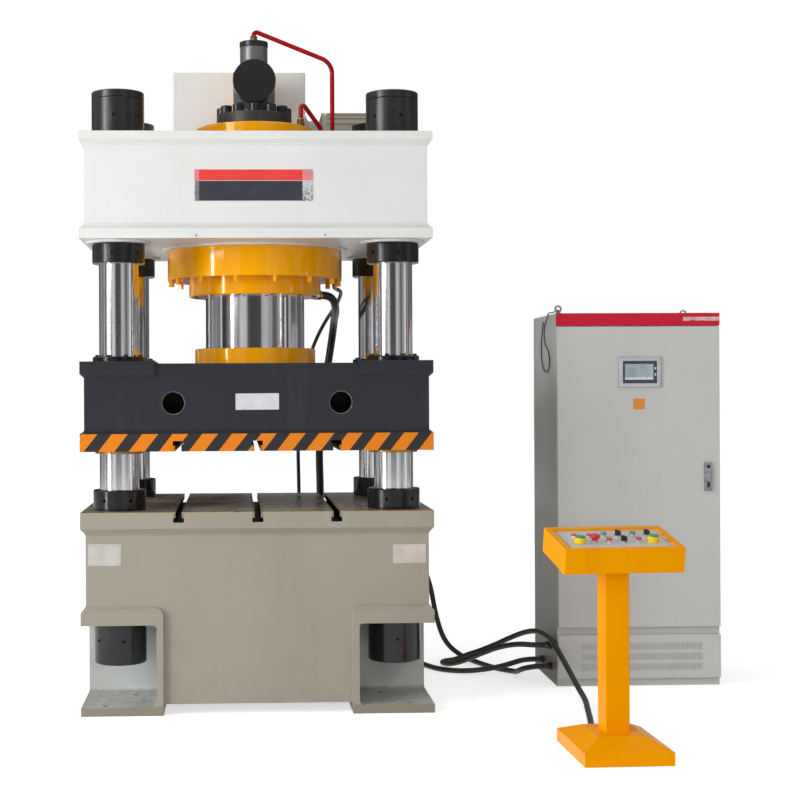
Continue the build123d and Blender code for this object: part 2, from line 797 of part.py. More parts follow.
def gland_places():
    """Where the cables enter the left side of the cabinet."""
    return [(cabinet_left, cabinet_front + 169.0, 74.0), (cabinet_left, cabinet_front + 366.0, 76.0),
            (cabinet_left, cabinet_front + 157.0, 181.0)]


def make_header_strip():
    """Coloured fascia above the door."""
    strip = block((cabinet_left, cabinet_right), (cabinet_front, body_front), (header_low, cabinet_height))
    return fillet(strip.edges().filter_by(Axis.X), 2.0)


def make_vent_panel():
    """Lower front panel with rows of upright louvre slits."""
    panel = block((cabinet_left + 1, cabinet_right - 1), (cabinet_front, body_front), (vent_low, vent_high))
    panel -= block((cabinet_left + 4, cabinet_right - 4), (cabinet_front + cabinet_wall, body_front + 1),
                   (vent_low + 4, vent_high - 4))
    pitch_x = 28.0
    pitch_z = 62.0
    slit = Box(7.0, 4 * cabinet_wall, 36.0)
    middle = (cabinet_left + cabinet_right) / 2
    start_x = middle - pitch_x * (louvre_columns - 1) / 2
    start_z = (vent_low + vent_high) / 2 - pitch_z * (louvre_rows - 1) / 2
    slits = [Pos(start_x + pitch_x * i, cabinet_front, start_z + pitch_z * j) * slit
             for i in range(louvre_columns) for j in range(louvre_rows)]
    return panel - slits


def make_cabinet_door():
    """Folded door pan, hung on pins at its left edge."""
    low = door_low
    x = (cabinet_left + 1, cabinet_right - 1)
    y = (cabinet_front, cabinet_front + door_thickness)
    wall = cabinet_wall
    pan = block(x, y, (low, door_high))
    pan = fillet(pan.edges().filter_by(Axis.Z).group_by(Axis.Y)[0], 3.0)
    fold = 2 * hinge_inset + hinge_pin
    pan -= block((x[0] + fold, x[1] - fold), (y[0] + wall, y[1] + 1), (low + 22, door_high - 22))
    for z in hinge_heights():
        pan -= block((x[0] - 1, x[0] + fold - 2), (hinge_y - hinge_inset - 5, y[1] + 1), (z - 7, z + 0.5))
        pan -= Pos(hinge_x, hinge_y, 0) * rod(hinge_pin + 2 * running_gap, z - 1, z + 23)
    sx, sz = screen_centre
    window = block((cabinet_left + sx - screen_width / 2 + 8, cabinet_left + sx + screen_width / 2 - 8),
                   (y[0] - 1, y[1] + 1), (sz - screen_height / 2 + 8, sz + screen_height / 2 - 8))
    pan -= window
    lx, lz = lock_centre
    pan -= block((cabinet_left + lx - 9, cabinet_left + lx + 9), (y[0] - 1, y[0] + wall + 1),
                 (lz - 50, lz + 60))
    return pan


def make_touch_screen():
    """Operator screen: bezel on the door, case behind it."""
    sx, sz = screen_centre
    x = cabinet_left + sx
    bezel = Pos(x, cabinet_front - 4.0, sz) * Box(screen_width, 8.0, screen_height)
    bezel = fillet(bezel.edges().filter_by(Axis.Y), 6.0)
    glass = Pos(x, cabinet_front - 8.0, sz) * Box(screen_width - 44, 3.0, screen_height - 38)
    case = Pos(x, cabinet_front + 20.0, sz) * Box(screen_width - 18, 40.0, screen_height - 18)
    return bezel - glass + case


def make_lock_plate():
    """Escutcheon of the door lock, with the pocket of the folding lever and a key cylinder."""
    lx, lz = lock_centre
    x = cabinet_left + lx
    plate = Pos(x, cabinet_front - 5.0, lz) * Box(lock_width, 10.0, lock_height)
    plate = fillet(plate.edges().filter_by(Axis.Y), 7.0)
    plate -= Pos(x, cabinet_front - 6.5, lz - lever_drop) * Box(lever_width + 2, 9.0, lever_length + 2)
    key = Pos(x, cabinet_front - 6.0, lz + lock_height / 2 - 22) * Rot(90, 0, 0) * Cylinder(8.0, 14.0)
    body = Pos(x, cabinet_front + 12.0, lz) * Box(16.0, 24.0, 92.0)
    return plate + key + body + lever_pin(lever_pin_diameter, lever_width + 6.0)


lever_width = 24.0
lever_length = 84.0
lever_thickness = 7.4
lever_drop = 22.0
lever_middle = cabinet_front - 6.7
lever_pin_diameter = 3.0


def lever_pin(diameter, length):
    """Cylinder on the turning axis of the lever."""
    lx, lz = lock_centre
    low = lz - lever_drop - lever_length / 2
    return Pos(cabinet_left + lx, lever_middle, low + lever_thickness / 2) * Rot(0, 90, 0) * Cylinder(
        diameter / 2, length)


def make_lock_lever():
    """Lever that folds out of the escutcheon about a pin near its lower end."""
    lx, lz = lock_centre
    lever = Pos(cabinet_left + lx, lever_middle, lz - lever_drop) * Box(
        lever_width, lever_thickness, lever_length)
    lever = fillet(lever.edges().filter_by(Axis.X).group_by(Axis.Z)[0], lever_thickness / 2 - 0.1)
    lever = fillet(lever.edges().filter_by(Axis.Y).group_by(Axis.Z)[-1], 5.0)
    return lever - lever_pin(lever_pin_diameter + running_gap, lever_width + 2.0)


def make_mounting_plate():
    """Galvanised plate near the back of the cabinet, on four stand-off studs."""
    back = cabinet_back - cabinet_wall
    plate = block((cabinet_left + 60, cabinet_right - 60), (back - 43, back - 40), (340, 1700))
    stud = Rot(90, 0, 0) * Cylinder(8.0, 40.0)
    for x in (cabinet_left + 90, cabinet_right - 90):
        for z in (380, 1660):
            plate += Pos(x, back - 20, z) * stud
    return plate


def make_switchgear():
    """Main breaker, contactors, relays and terminals on rails."""
    face = cabinet_back - cabinet_wall - 43
    devices = []

    def row(z, widths, height, depth, start=110.0, gap=6.0):
        x = cabinet_left + start
        rail = block((x - 20, cabinet_right - 100), (face - 8, face), (z - 17, z + 17))
        devices.append(rail)
        for width in widths:
            item = block((x, x + width), (face - 8 - depth, face - 8), (z - height / 2, z + height / 2))
            devices.append(chamfer(item.edges().filter_by(Axis.X).group_by(Axis.Y)[0], 8.0))
            x += width + gap

    row(1560, [140, 90, 90], 170, 110)
    row(1280, [72] * 6, 120, 100)
    row(1000, [45] * 10, 90, 80)
    row(700, [260, 130], 150, 120)
    row(450, [12] * 26, 60, 45)
    return devices


def make_lifting_eyes():
    """Eye bolts in two opposite roof corners, with the sling ring of each upright."""
    ring = Pos(0, 0, 24.0) * Rot(90, 0, 0) * Torus(14.0, 4.5)
    eye = rod(26.0, 0, 6.0) + rod(12.0, 0, 12.0) + ring
    front = Pos(cabinet_left + eye_inset_x, body_front + eye_inset_y, cabinet_height) * eye
    back = Pos(cabinet_right - eye_inset_x, cabinet_back - eye_inset_y, cabinet_height) * eye
    return [front, back]


# Operator's console

base_place = Pos(console_x, console_y, 0) * Rot(0, 0, base_turn)
head_place = Pos(console_x, console_y, head_middle) * Rot(0, 0, head_turn) * Rot(head_tilt, 0, 0)
panel_level = head_height / 2 - panel_drop


def make_console_stand():
    """Folded sheet foot with a sloping top, open below, and the square tube of the post."""
    wall = post_wall
    foot = foot_form(0.0) - foot_form(wall)
    x, y, z = console_gland
    foot -= Pos(x, y, z) * Rot(90, 0, 0) * Cylinder(gland_thread / 2, 4 * wall)
    tall = head_middle - base_top
    tube = fillet(Box(post_side, post_side, tall).edges().filter_by(Axis.Z), 5.0)
    tube -= Box(post_side - 2 * wall, post_side - 2 * wall, tall + 1)
    post = Pos(console_x, console_y, base_top + tall / 2) * Rot(0, 0, head_turn) * tube
    head = head_place * Box(head_width + 10, head_depth + 10, head_height)
    return base_place * foot + (post - head)


def foot_form(wall):
    """Outer form of the console's foot, or the hollow in it when a wall is given."""
    width = base_width - 2 * wall
    depth = base_depth - 2 * wall
    low = -1.0 if wall else 0.0
    edge = extrude(Pos(0, 0, low) * Rectangle(width, depth), base_edge - low)
    slope = loft([Pos(0, 0, base_edge) * Rectangle(width, depth),
                  Pos(0, 0, base_top - wall) * Rectangle(plateau_width - 2 * wall, plateau_depth - 2 * wall)])
    return edge + slope


def make_console_box():
    """Open-topped sheet box with an inturned rim for the control panel."""
    wall = head_wall
    top = head_height / 2
    box = Box(head_width, head_depth, head_height)
    box = fillet(box.edges().filter_by(Axis.Z), 3.0)
    seat = panel_level - panel_thickness
    width = head_width - 2 * head_rim
    depth = head_depth - 2 * head_rim
    box -= block((-width / 2, width / 2), (-depth / 2, depth / 2), (seat, top + 1))
    width -= 2 * panel_seat
    depth -= 2 * panel_seat
    box -= block((-width / 2, width / 2), (-depth / 2, depth / 2), (-top + wall, seat + 1))
    box -= block((-head_width / 2 + wall, head_width / 2 - wall),
                 (-head_depth / 2 + wall, head_depth / 2 - wall), (-top + wall, seat - wall))
    return head_place * box


def make_control_panel():
    hole = Cylinder(control_hole / 2, 4 * panel_thickness)
    plate = Box(head_width - 2 * head_rim - 0.6, head_depth - 2 * head_rim - 0.6, panel_thickness)
    plate -= [Pos(x, y, 0) * hole for x, y in control_places().values()]
    return head_place * Pos(0, 0, panel_level - panel_thickness / 2) * plate


def control_places():
    """Centre of each control on the panel, in panel coordinates."""
    back = ("lamp_left", "lamp_right", "green_button_left", "selector_back_left",
            "green_button_right", "selector_back_right")
    front = ("palm_button_left", "emergency_stop", "red_button_left", "selector_front",
             "red_button_right", "palm_button_right")
    places = {}
    for row, names in ((0.5, back), (-0.5, front)):
        for i, name in enumerate(names):
            places[name] = ((i - 2.5) * control_pitch, row * control_row_pitch)
    return places


def ring(inner, outer, low, high):
    return turned((inner, low), (outer, low), (outer, high), (inner, high))


stem_diameter = 16.0
bezel_height = 7.0
collar_height = 24.0
button_travel = 4.0


def make_control_bezels():
    """Fixed parts of the controls: bezels, palm-button collars and lamp lenses."""
    stem = stem_diameter / 2 + 0.5
    neck = control_hole / 2
    pieces = []
    for name, (x, y) in control_places().items():
        if name.startswith("lamp"):
            lens = turned((0, -20.0), (neck - 0.5, -20.0), (neck - 0.5, 0), (14.5, 0), (14.5, 4.0),
                          (11.5, 9.0), (7.0, 13.0), (0, 14.0))
            piece = lens
        elif name.startswith("palm"):
            piece = ring(20.6, 23.0, 0, collar_height) + ring(stem, 23.0, 0, 5.0) + ring(stem, neck - 0.5, -22.0, 0)
        else:
            piece = ring(stem, 14.5, 0, bezel_height) + ring(stem, neck - 0.5, -22.0, 0)
        pieces.append(head_place * Pos(x, y, panel_level) * piece)
    return pieces


def control(name, profile):
    """A moving control turned from its profile, above and below the panel."""
    x, y = control_places()[name]
    return head_place * Pos(x, y, panel_level) * turned(*profile)


def make_push_button(name):
    stem = stem_diameter / 2
    low = bezel_height + button_travel + 1.0
    return control(name, [(0, -24.0), (stem, -24.0), (stem, low), (12.0, low), (12.0, low + 4.0),
                          (11.0, low + 6.0), (0, low + 7.0)])


def make_palm_button(name):
    stem = stem_diameter / 2
    low = 5.0 + button_travel + 2.0
    return control(name, [(0, -24.0), (stem, -24.0), (stem, low), (20.0, low), (20.0, low + 14.0),
                          (17.0, low + 18.0), (9.0, low + 20.5), (0, low + 21.0)])


def make_emergency_stop(name):
    stem = stem_diameter / 2
    low = bezel_height + button_travel + 1.0
    return control(name, [(0, -24.0), (stem, -24.0), (stem, low), (13.0, low), (13.0, low + 6.0),
                          (18.0, low + 9.0), (20.0, low + 15.0), (18.5, low + 20.0), (12.0, low + 24.0),
                          (0, low + 26.0)])


def make_selector(name):
    stem = stem_diameter / 2
    x, y = control_places()[name]
    low = bezel_height + 0.4
    knob = turned((0, -24.0), (stem, -24.0), (stem, low), (13.0, low), (13.0, low + 6.0), (11.0, low + 8.0),
                  (0, low + 8.0))
    grip = Pos(0, 1.0, low + 12.0) * Box(8.0, 28.0, 15.0)
    grip = chamfer(grip.edges().filter_by(Axis.X).group_by(Axis.Z)[-1], 4.0)
    return head_place * Pos(x, y, panel_level) * Rot(0, 0, selector_rest) * (knob + grip)


selector_rest = 20.0


# Glands and flexible lines

def gland():
    """Cable gland on the Z axis: thread through the wall, hexagon and domed nut."""
    inner = cable_diameter / 2
    hexagon = extrude(RegularPolygon(20.0, 6), 10.0) + Pos(0, 0, 12.0) * extrude(RegularPolygon(19.0, 6), 12.0)
    dome = turned((0, -12.0), (gland_thread / 2 - thread_gap, -12.0), (gland_thread / 2 - thread_gap, 0),
                  (17.5, 0), (17.5, 24.0), (inner + 1.0, gland_length), (0, gland_length))
    return hexagon + dome


console_gland = (0.0, base_depth / 2, 27.0)
box_gland_a = (box_x[1], bed_back + box_depth / 2, box_z[0] + 50.0)
box_gland_b = (660.0, bed_back + box_depth / 2, box_z[0])


def make_cable_glands():
    """Glands of the cabinet, the junction box and the console, where the cables end."""
    pieces = [Pos(x, y, z) * Rot(0, -90, 0) * gland() for x, y, z in gland_places()]
    pieces.append(Pos(*box_gland_a) * Rot(0, 90, 0) * gland())
    pieces.append(Pos(*box_gland_b) * Rot(180, 0, 0) * gland())
    x, y, z = console_gland
    pieces.append(base_place * Pos(x, y, z) * Rot(-90, 0, 0) * gland())
    return pieces


def swept_line(name, points, diameter):
    """Tube along hand-chosen points, with each bend as wide as its two runs allow."""
    corners = [Vector(*p) for p in points]
    radii = []
    for before, here, after in zip(corners, corners[1:], corners[2:]):
        first = here - before
        second = after - here
        turn = math.radians(first.get_angle(second))
        radii.append(0.45 * min(first.length, second.length) / math.tan(turn / 2))
    tube = bent_pipe(points, radii, diameter)
    length = FilletPolyline(*points, radius=radii).length
    share = tube.volume / (length * math.pi * diameter ** 2 / 4)
    print(f"{name}: length {length:.0f} mm, least radius {min(radii):.0f} mm, volume ratio {share:.4f}")
    print(f"  radii {[round(r) for r in radii]}")
    return tube


def make_motor_cable():
    return swept_line("motor_cable", [
        (804, 665.5, 550), (846, 665.5, 550), (900, 672, 505), (938, 680, 400), (965, 686, 240),
        (1012, 690, 100), (1105, 684, 24), (1170, 560, 14), (1226, 400, 14), (1306, 300, 14),
        (1316, 236, 22), (1318, 180, 38), (1328, 134, 54), (1352, 104, 66), (1388, 90, 74),
        (1430, 90, 74)], cable_diameter)


def make_valve_cable():
    return swept_line("valve_cable", [
        (660, 665.5, 464), (660, 665.5, 380), (664, 690, 250), (690, 725, 120), (745, 742, 30),
        (835, 672, 14), (885, 500, 14), (950, 362, 14), (1080, 306, 14), (1220, 296, 32),
        (1310, 291, 58), (1370, 287, 76), (1430, 287, 76)], cable_diameter)


def make_console_cable():
    return swept_line("console_cable", [
        (1430, 78, 181), (1385, 78, 181), (1295, 98, 186), (1218, 205, 152), (1160, 300, 110),
        (1104, 392, 66), (1050, 458, 32), (1004, 514, 16), (978, 574, 14), (1006, 628, 14),
        (1064, 648, 16), (1122, 620, 46), (1180, 558, 76), (1250, 475, 122), (1318, 380, 175),
        (1372, 285, 216), (1412, 180, 238), (1440, 85, 226), (1447, -15, 218), (1452, -112, 194),
        (1480, -220, 122), (1505, -340, 48), (1512, -470, 14), (1478, -660, 14), (1446, -850, 14),
        (1422, -980, 14), (1403, -1080, 17), (1396.44, -1135, 27), (1397.83, -1188, 27)],
        cable_diameter)


def make_main_hose():
    return swept_line("main_hose", [
        (331.1, 223.4, 1929), (372, 251, 1929), (400, 294, 1911), (413, 348, 1886), (420, 412, 1863),
        (424, 492, 1846), (425, 575, 1835), (425, 640, 1812), (422, 684, 1764), (414, 706, 1700),
        (402, 714, 1620), (376, 716, 1470), (354, 717, 1290), (347, 717, 1110), (352, 716, 950),
        (352, 716, 840)], main_hose_diameter)


def make_drain_hose():
    return swept_line("drain_hose", [
        (402.1, 112.2, 1954), (420, 150, 1950), (433, 205, 1944), (438, 280, 1934), (436, 350, 1922),
        (432, 420, 1906), (423, 500, 1884), (408, 590, 1860), (380, 652, 1815), (346, 702, 1750),
        (312, 726, 1669), (284, 729, 1570), (256, 725, 1440), (238, 720, 1290), (234, 717, 1120),
        (238, 716, 960), (238, 716, 840)], drain_hose_diameter)


def make_hose_unions():
    """Steel ends of the hoses: on the gland ring, under the flange and behind the bed."""
    sleeve = main_hose_diameter + 8.0
    straight = rod(hose_union, gland_diameter / 2 - 10.0, union_reach) + rod(
        sleeve, union_reach - hose_union, union_reach)
    straight += Pos(0, 0, gland_diameter / 2 + 6.0) * extrude(RegularPolygon(hose_union * 0.6, 6), 22.0)
    first = Pos(0, 0, union_height) * Rot(0, 0, union_angle) * Rot(0, 90, 0) * straight
    first -= rod(gland_diameter, gland_low - 1, flange_low + 1)
    x, y = drain_port
    elbow = bent_pipe([(x, y, flange_low), (x, y, flange_low - 28), (x + 12, y + 25.3, flange_low - 31)],
                      [12.0], 16.0)
    lower = []
    high = hose_end_height
    for x, diameter, drop in ((352.0, hose_union, 70.0), (238.0, 20.0, 56.0)):
        bend = bent_pipe([(x, bed_back, high - drop), (x, hose_end_y, high - drop), (x, hose_end_y, high)],
                         [diameter * 0.6], diameter)
        ferrule = Pos(x, hose_end_y, 0) * rod(diameter * 1.25, high - 28.0, high)
        lower.append(bend + ferrule)
    return [first, elbow] + lower


def make_tie_cord():
    return swept_line("tie_cord", [
        (1486, -22, 1837.5), (1486, 12, 1837.5), (1476, 46, 1830), (1456, 88, 1828), (1459, 128, 1800),
        (1460, 190, 1778), (1460, 214, 1722), (1460, 172, 1664), (1460, 96, 1640), (1460, 62, 1582),
        (1460, 110, 1536), (1460, 190, 1536), (1460, 262, 1572), (1460, 290, 1650), (1460, 262, 1728),
        (1460, 226, 1790)], tie_cord_diameter)


# Every piece by its name

pieces = {
    "bed": make_bed(),
    "bed_feet": make_bed_feet(),
    "columns": make_columns(),
    "inner_nuts": make_inner_nuts(),
    "lock_nuts": make_lock_nuts(),
    "column_caps": make_column_caps(),
    "crown": make_crown(),
    "main_cylinder": make_main_cylinder(),
    "cylinder_bolts": make_cylinder_bolts(),
    "gland_ring": make_gland_ring(),
    "ram_guide_bush": make_ram_guide_bush(),
    "gland_packing": make_gland_packing(),
    "filling_valve": make_filling_valve(),
    "valve_screws": make_valve_screws(),
    "valve_covers": make_valve_covers(),
    "suction_pipe": make_suction_pipe(),
    "control_pipes": make_control_pipes(),
    "pipe_fittings": make_pipe_fittings(),
    "valve_manifold": make_valve_manifold(),
    "oil_tank": make_oil_tank(),
    "oil_pump": make_oil_pump(),
    "pump_motor": make_pump_motor(),
    "junction_box": make_junction_box(),
    "slide_beam": make_slide_beam(),
    "slide_bushes": make_slide_bushes(),
    "guide_caps": make_guide_caps(),
    "ram": make_ram(),
    "ram_flange": make_ram_flange(),
    "piston_seals": make_piston_seals(),
    "cabinet_body": make_cabinet_body(),
    "header_strip": make_header_strip(),
    "vent_panel": make_vent_panel(),
    "mounting_plate": make_mounting_plate(),
    "switchgear": make_switchgear(),
    "lifting_eyes": make_lifting_eyes(),
    "cabinet_door": make_cabinet_door(),
    "touch_screen": make_touch_screen(),
    "lock_plate": make_lock_plate(),
    "lock_lever": make_lock_lever(),
    "console_stand": make_console_stand(),
    "console_box": make_console_box(),
    "control_panel": make_control_panel(),
    "control_bezels": make_control_bezels(),
    "palm_button_left": make_palm_button("palm_button_left"),
    "palm_button_right": make_palm_button("palm_button_right"),
    "emergency_stop": make_emergency_stop("emergency_stop"),
    "cable_glands": make_cable_glands(),
    "main_hose": make_main_hose(),
    "drain_hose": make_drain_hose(),
    "motor_cable": make_motor_cable(),
    "valve_cable": make_valve_cable(),
    "console_cable": make_console_cable(),
    "tie_cord": make_tie_cord(),
}
for side in ("left", "right"):
    pieces["green_button_" + side] = make_push_button("green_button_" + side)
    pieces["red_button_" + side] = make_push_button("red_button_" + side)
    pieces["selector_back_" + side] = make_selector("selector_back_" + side)
pieces["selector_front"] = make_selector("selector_front")

os.makedirs("parts", exist_ok=True)
for name, shape in pieces.items():
    if isinstance(shape, list):
        shape = Compound(children=shape)
    export_step(shape, f"parts/{name}.step")
print(len(pieces), "pieces written")
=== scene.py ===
import json
import math

import bmesh
import bpy
from mathutils import Matrix, Vector, noise


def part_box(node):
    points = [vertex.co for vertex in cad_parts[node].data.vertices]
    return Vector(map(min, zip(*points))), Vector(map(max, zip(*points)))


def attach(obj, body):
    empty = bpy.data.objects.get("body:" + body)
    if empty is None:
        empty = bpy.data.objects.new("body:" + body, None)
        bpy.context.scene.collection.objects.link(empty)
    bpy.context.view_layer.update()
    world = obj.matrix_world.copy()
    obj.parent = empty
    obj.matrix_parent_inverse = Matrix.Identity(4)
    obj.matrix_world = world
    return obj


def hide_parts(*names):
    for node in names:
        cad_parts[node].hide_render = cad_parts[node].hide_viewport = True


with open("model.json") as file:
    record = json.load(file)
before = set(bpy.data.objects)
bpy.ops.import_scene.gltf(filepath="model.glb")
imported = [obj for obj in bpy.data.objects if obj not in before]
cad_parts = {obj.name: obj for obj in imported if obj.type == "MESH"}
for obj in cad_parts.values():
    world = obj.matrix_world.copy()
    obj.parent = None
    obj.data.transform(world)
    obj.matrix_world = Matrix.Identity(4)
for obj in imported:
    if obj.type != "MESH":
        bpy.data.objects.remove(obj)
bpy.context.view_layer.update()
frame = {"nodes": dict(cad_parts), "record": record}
nodes = frame["nodes"]
scene = bpy.context.scene
scene.view_settings.view_transform = "Standard"
print("frame loaded:", len(nodes), "nodes")


class Look(dict):
    # a dictionary whose values can also be read with a dot
    __getattr__ = dict.__getitem__


def at(x, y, z):
    return Matrix.Translation((x, y, z))


def turned(angle, axis):
    return Matrix.Rotation(angle, 4, axis)


def linked(name, data):
    obj = bpy.data.objects.new(name, data)
    scene.collection.objects.link(obj)
    return obj


# camera, level, a little to the left of the press

camera = Look(
    place=(-0.0933, -7.7236, 1.4573), lens=71.18, sensor=36, turn=-0.035, lean=-0.0049, shiftAcross=0.13536,
    shiftUp=-0.01365, reach=200)


def makeCamera():
    data = bpy.data.cameras.new("camera")
    data.sensor_width = camera.sensor
    data.lens = camera.lens
    data.shift_x = camera.shiftAcross
    data.shift_y = camera.shiftUp
    data.clip_end = camera.reach
    aim = turned(camera.turn, "Z") @ turned(math.pi / 2, "X")
    scene.camera = linked("camera", data)
    scene.camera.matrix_world = at(*camera.place) @ aim @ turned(camera.lean, "Z")


makeCamera()


# what every finish is made from

def tone(red, green, blue):
    # a colour as seen on a screen, 0 to 255, in the form that the shader takes
    def straight(value):
        value /= 255
        return value / 12.92 if value <= 0.04045 else ((value + 0.055) / 1.055) ** 2.4
    return (straight(red), straight(green), straight(blue), 1.0)


class Tree:
    # the shader nodes of one material or of the room
    def __init__(self, tree):
        self.tree = tree

    def node(self, kind, inputs, **settings):
        made = self.tree.nodes.new("ShaderNode" + kind)
        for key, value in settings.items():
            setattr(made, key, value)
        for key, value in inputs.items():
            self.feed(made.inputs[key], value)
        return made

    def feed(self, socket, value):
        if isinstance(value, bpy.types.NodeSocket):
            self.tree.links.new(value, socket)
        elif value is not None:
            socket.default_value = value

    def sum(self, work, first, second=0.0):
        return self.node("Math", {0: first, 1: second}, operation=work).outputs[0]

    def span(self, value, low, high, start=0.0, end=1.0):
        return self.node("MapRange", {0: value, 1: low, 2: high, 3: start, 4: end}).outputs[0]

    def seen(self):
        # one for the camera, for reflections and through clear parts
        ray = self.node("LightPath", {}).outputs
        return self.sum("MAXIMUM", ray["Is Camera Ray"],
                        self.sum("MAXIMUM", ray["Is Glossy Ray"], ray["Is Transmission Ray"]))


class Finish(Tree):
    # one material, built in layers from the base colour up
    def __init__(self, name, colour, rough=0.5, metal=0.0):
        self.material = bpy.data.materials.new(name)
        self.material.use_nodes = True
        super().__init__(self.material.node_tree)
        self.shader = self.tree.nodes["Principled BSDF"].inputs
        self.coordinates = self.node("TexCoord", {}).outputs
        self.place = self.coordinates["Object"]
        self.colour, self.rough, self.metal, self.relief = colour, rough, metal, None

    def mix(self, factor, first, second):
        return self.node("Mix", {0: factor, 6: first, 7: second}, data_type="RGBA").outputs[2]

    def blend(self, factor, first, second):
        return self.node("Mix", {0: factor, 2: first, 3: second}, data_type="FLOAT").outputs[0]

    def below(self, value, low, high):
        return self.span(value, low, high, 1.0, 0.0)

    def within(self, value, low, high, soft=0.0005):
        return self.both(self.span(value, low - soft, low + soft), self.below(value, high - soft, high + soft))

    def both(self, first, *others):
        for other in others:
            first = self.sum("MULTIPLY", first, other)
        return first

    def grain(self, scale, detail=3.0, rough=0.55, stretch=None, shift=(0, 0, 0)):
        place = self.place
        if stretch:
            place = self.node("Mapping", {"Vector": place, "Scale": stretch, "Location": shift}).outputs[0]
        inputs = {"Vector": place, "Scale": scale, "Detail": detail, "Roughness": rough}
        return self.node("TexNoise", inputs).outputs[0]

    def spots(self, low, high, *grain):
        return self.span(self.grain(*grain), low, high)

    def cells(self, scale):
        return self.node("TexVoronoi", {"Vector": self.place, "Scale": scale}).outputs[0]

    def along(self, axis, kind="Object"):
        return self.node("SeparateXYZ", {0: self.coordinates[kind]}).outputs["XYZ".index(axis)]

    def facing(self, axis):
        return self.along(axis, "Normal")

    def away(self, axis, kind="Object"):
        # how far from the middle, on either side
        return self.sum("ABSOLUTE", self.along(axis, kind))

    def edges(self, width):
        # one near a sharp edge, nought on the flats
        soft = self.node("Bevel", {"Radius": width}, samples=4).outputs[0]
        flat = self.node("NewGeometry", {}).outputs["Normal"]
        same = self.node("VectorMath", {0: soft, 1: flat}, operation="DOT_PRODUCT").outputs["Value"]
        return self.span(same, 0.995, 0.9)

    def over(self, mask, colour, rough=None, metal=None):
        if isinstance(mask, tuple):
            mask = self.both(*mask)
        self.colour = self.mix(mask, self.colour, colour)
        if rough is not None:
            self.rough = self.blend(mask, self.rough, rough)
        if metal is not None:
            self.metal = self.blend(mask, self.metal, metal)

    def raised(self, depth, *grain):
        lifted = self.both(self.grain(*grain), depth)
        self.relief = lifted if self.relief is None else self.sum("ADD", self.relief, lifted)

    def close(self, rounding=0.0, spec=0.5, coat=(0.0, 0.03), tint=(1, 1, 1, 1)):
        for key, value in (("Base Color", self.colour), ("Roughness", self.rough), ("Metallic", self.metal),
                           ("Specular IOR Level", spec), ("Specular Tint", tint),
                           ("Coat Weight", coat[0]), ("Coat Roughness", coat[1])):
            self.feed(self.shader[key], value)
        normal = None
        if rounding:
            normal = self.node("Bevel", {"Radius": rounding}, samples=4).outputs[0]
        if self.relief is not None:
            normal = self.node("Bump", {"Height": self.relief, "Distance": 1.0, "Strength": 1.0,
                                        "Normal": normal}).outputs[0]
        self.feed(self.shader["Normal"], normal)
        return self.material


def layered(name, base, spots, *relief):
    # tone, roughness and metal; then spots of another tone: low, high and grain, share, tone, roughness
    made = Finish(name, *base)
    for where, share, colour, rough in spots:
        made.over((made.spots(*where), share), colour, rough)
    made.raised(*relief)
    return made


# mesh helpers

def meshed(name, bm, material):
    mesh = bpy.data.meshes.new(name)
    bm.to_mesh(mesh)
    bm.free()
    mesh.materials.append(material)
    return linked(name, mesh)


def keep(name, bm, slot, finish=None, body="frame", smooth=35):
    # a finished piece, in the finish of its slot unless it has its own
    bmesh.ops.recalc_face_normals(bm, faces=bm.faces[:])
    obj = meshed(name, bm, finish or finishes[slot])
    for face in obj.data.polygons:
        face.use_smooth = True
    obj.data.set_sharp_from_angle(angle=math.radians(smooth))
    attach(obj, body)
    return obj


def stack(bm, loops, place=Matrix.Identity(4), closed=False, capped=True):
    # skin over a row of loops that have the same number of points
    rows = [[bm.verts.new(place @ Vector(point)) for point in loop] for loop in loops]
    pairs = list(zip(rows, rows[1:]))
    if closed:
        pairs.append((rows[-1], rows[0]))
    for low, high in pairs:
        for i in range(len(low)):
            j = (i + 1) % len(low)
            bm.faces.new((low[i], low[j], high[j], high[i]))
    if capped and not closed:
        bm.faces.new(rows[0])
        bm.faces.new(rows[-1])


def addGrid(bm, rows):
    # sheet over rows of points
    grid = [[bm.verts.new(point) for point in row] for row in rows]
    for low, high in zip(grid, grid[1:]):
        for i in range(len(low) - 1):
            bm.faces.new((low[i], low[i + 1], high[i + 1], high[i]))
    return grid


def circle(radius, height, count=24):
    return [(radius * math.cos(math.tau * i / count), radius * math.sin(math.tau * i / count), height)
            for i in range(count)]


def circles(count, *steps):
    return [circle(radius, height, count) for radius, height in steps]


def hexagon(across, height, count=24):
    points = []
    for i in range(count):
        angle = math.tau * i / count
        radius = across / 2 / math.cos((angle + math.pi / 6) % (math.pi / 3) - math.pi / 6)
        points.append((radius * math.cos(angle), radius * math.sin(angle), height))
    return points


def roundedSquare(width, height, corner, level, steps=5):
    points = []
    for turn, sx, sy in ((0, 1, 1), (1, -1, 1), (2, -1, -1), (3, 1, -1)):
        for i in range(steps + 1):
            angle = (turn + i / steps) * math.pi / 2
            points.append((sx * (width / 2 - corner) + corner * math.cos(angle),
                           sy * (height / 2 - corner) + corner * math.sin(angle), level))
    return points


def squares(width, height, *steps):
    # rounded squares over each other: how much wider than the first measure, corner, level
    return [roundedSquare(width + wider, height + wider, corner, level) for wider, corner, level in steps]


def addPlate(bm, place, width, height, thick, corner, edge):
    stack(bm, squares(width, height, (0, corner, 0), (0, corner, thick - edge),
                      (-2 * edge, max(corner - edge, edge / 2), thick)), place)


def addRivet(bm, place, radius, count=12):
    steps = ((1.0, 0.0), (0.92, 0.28), (0.7, 0.5), (0.4, 0.62), (0.12, 0.66))
    stack(bm, [circle(radius * share, radius * rise, count) for share, rise in steps], place)


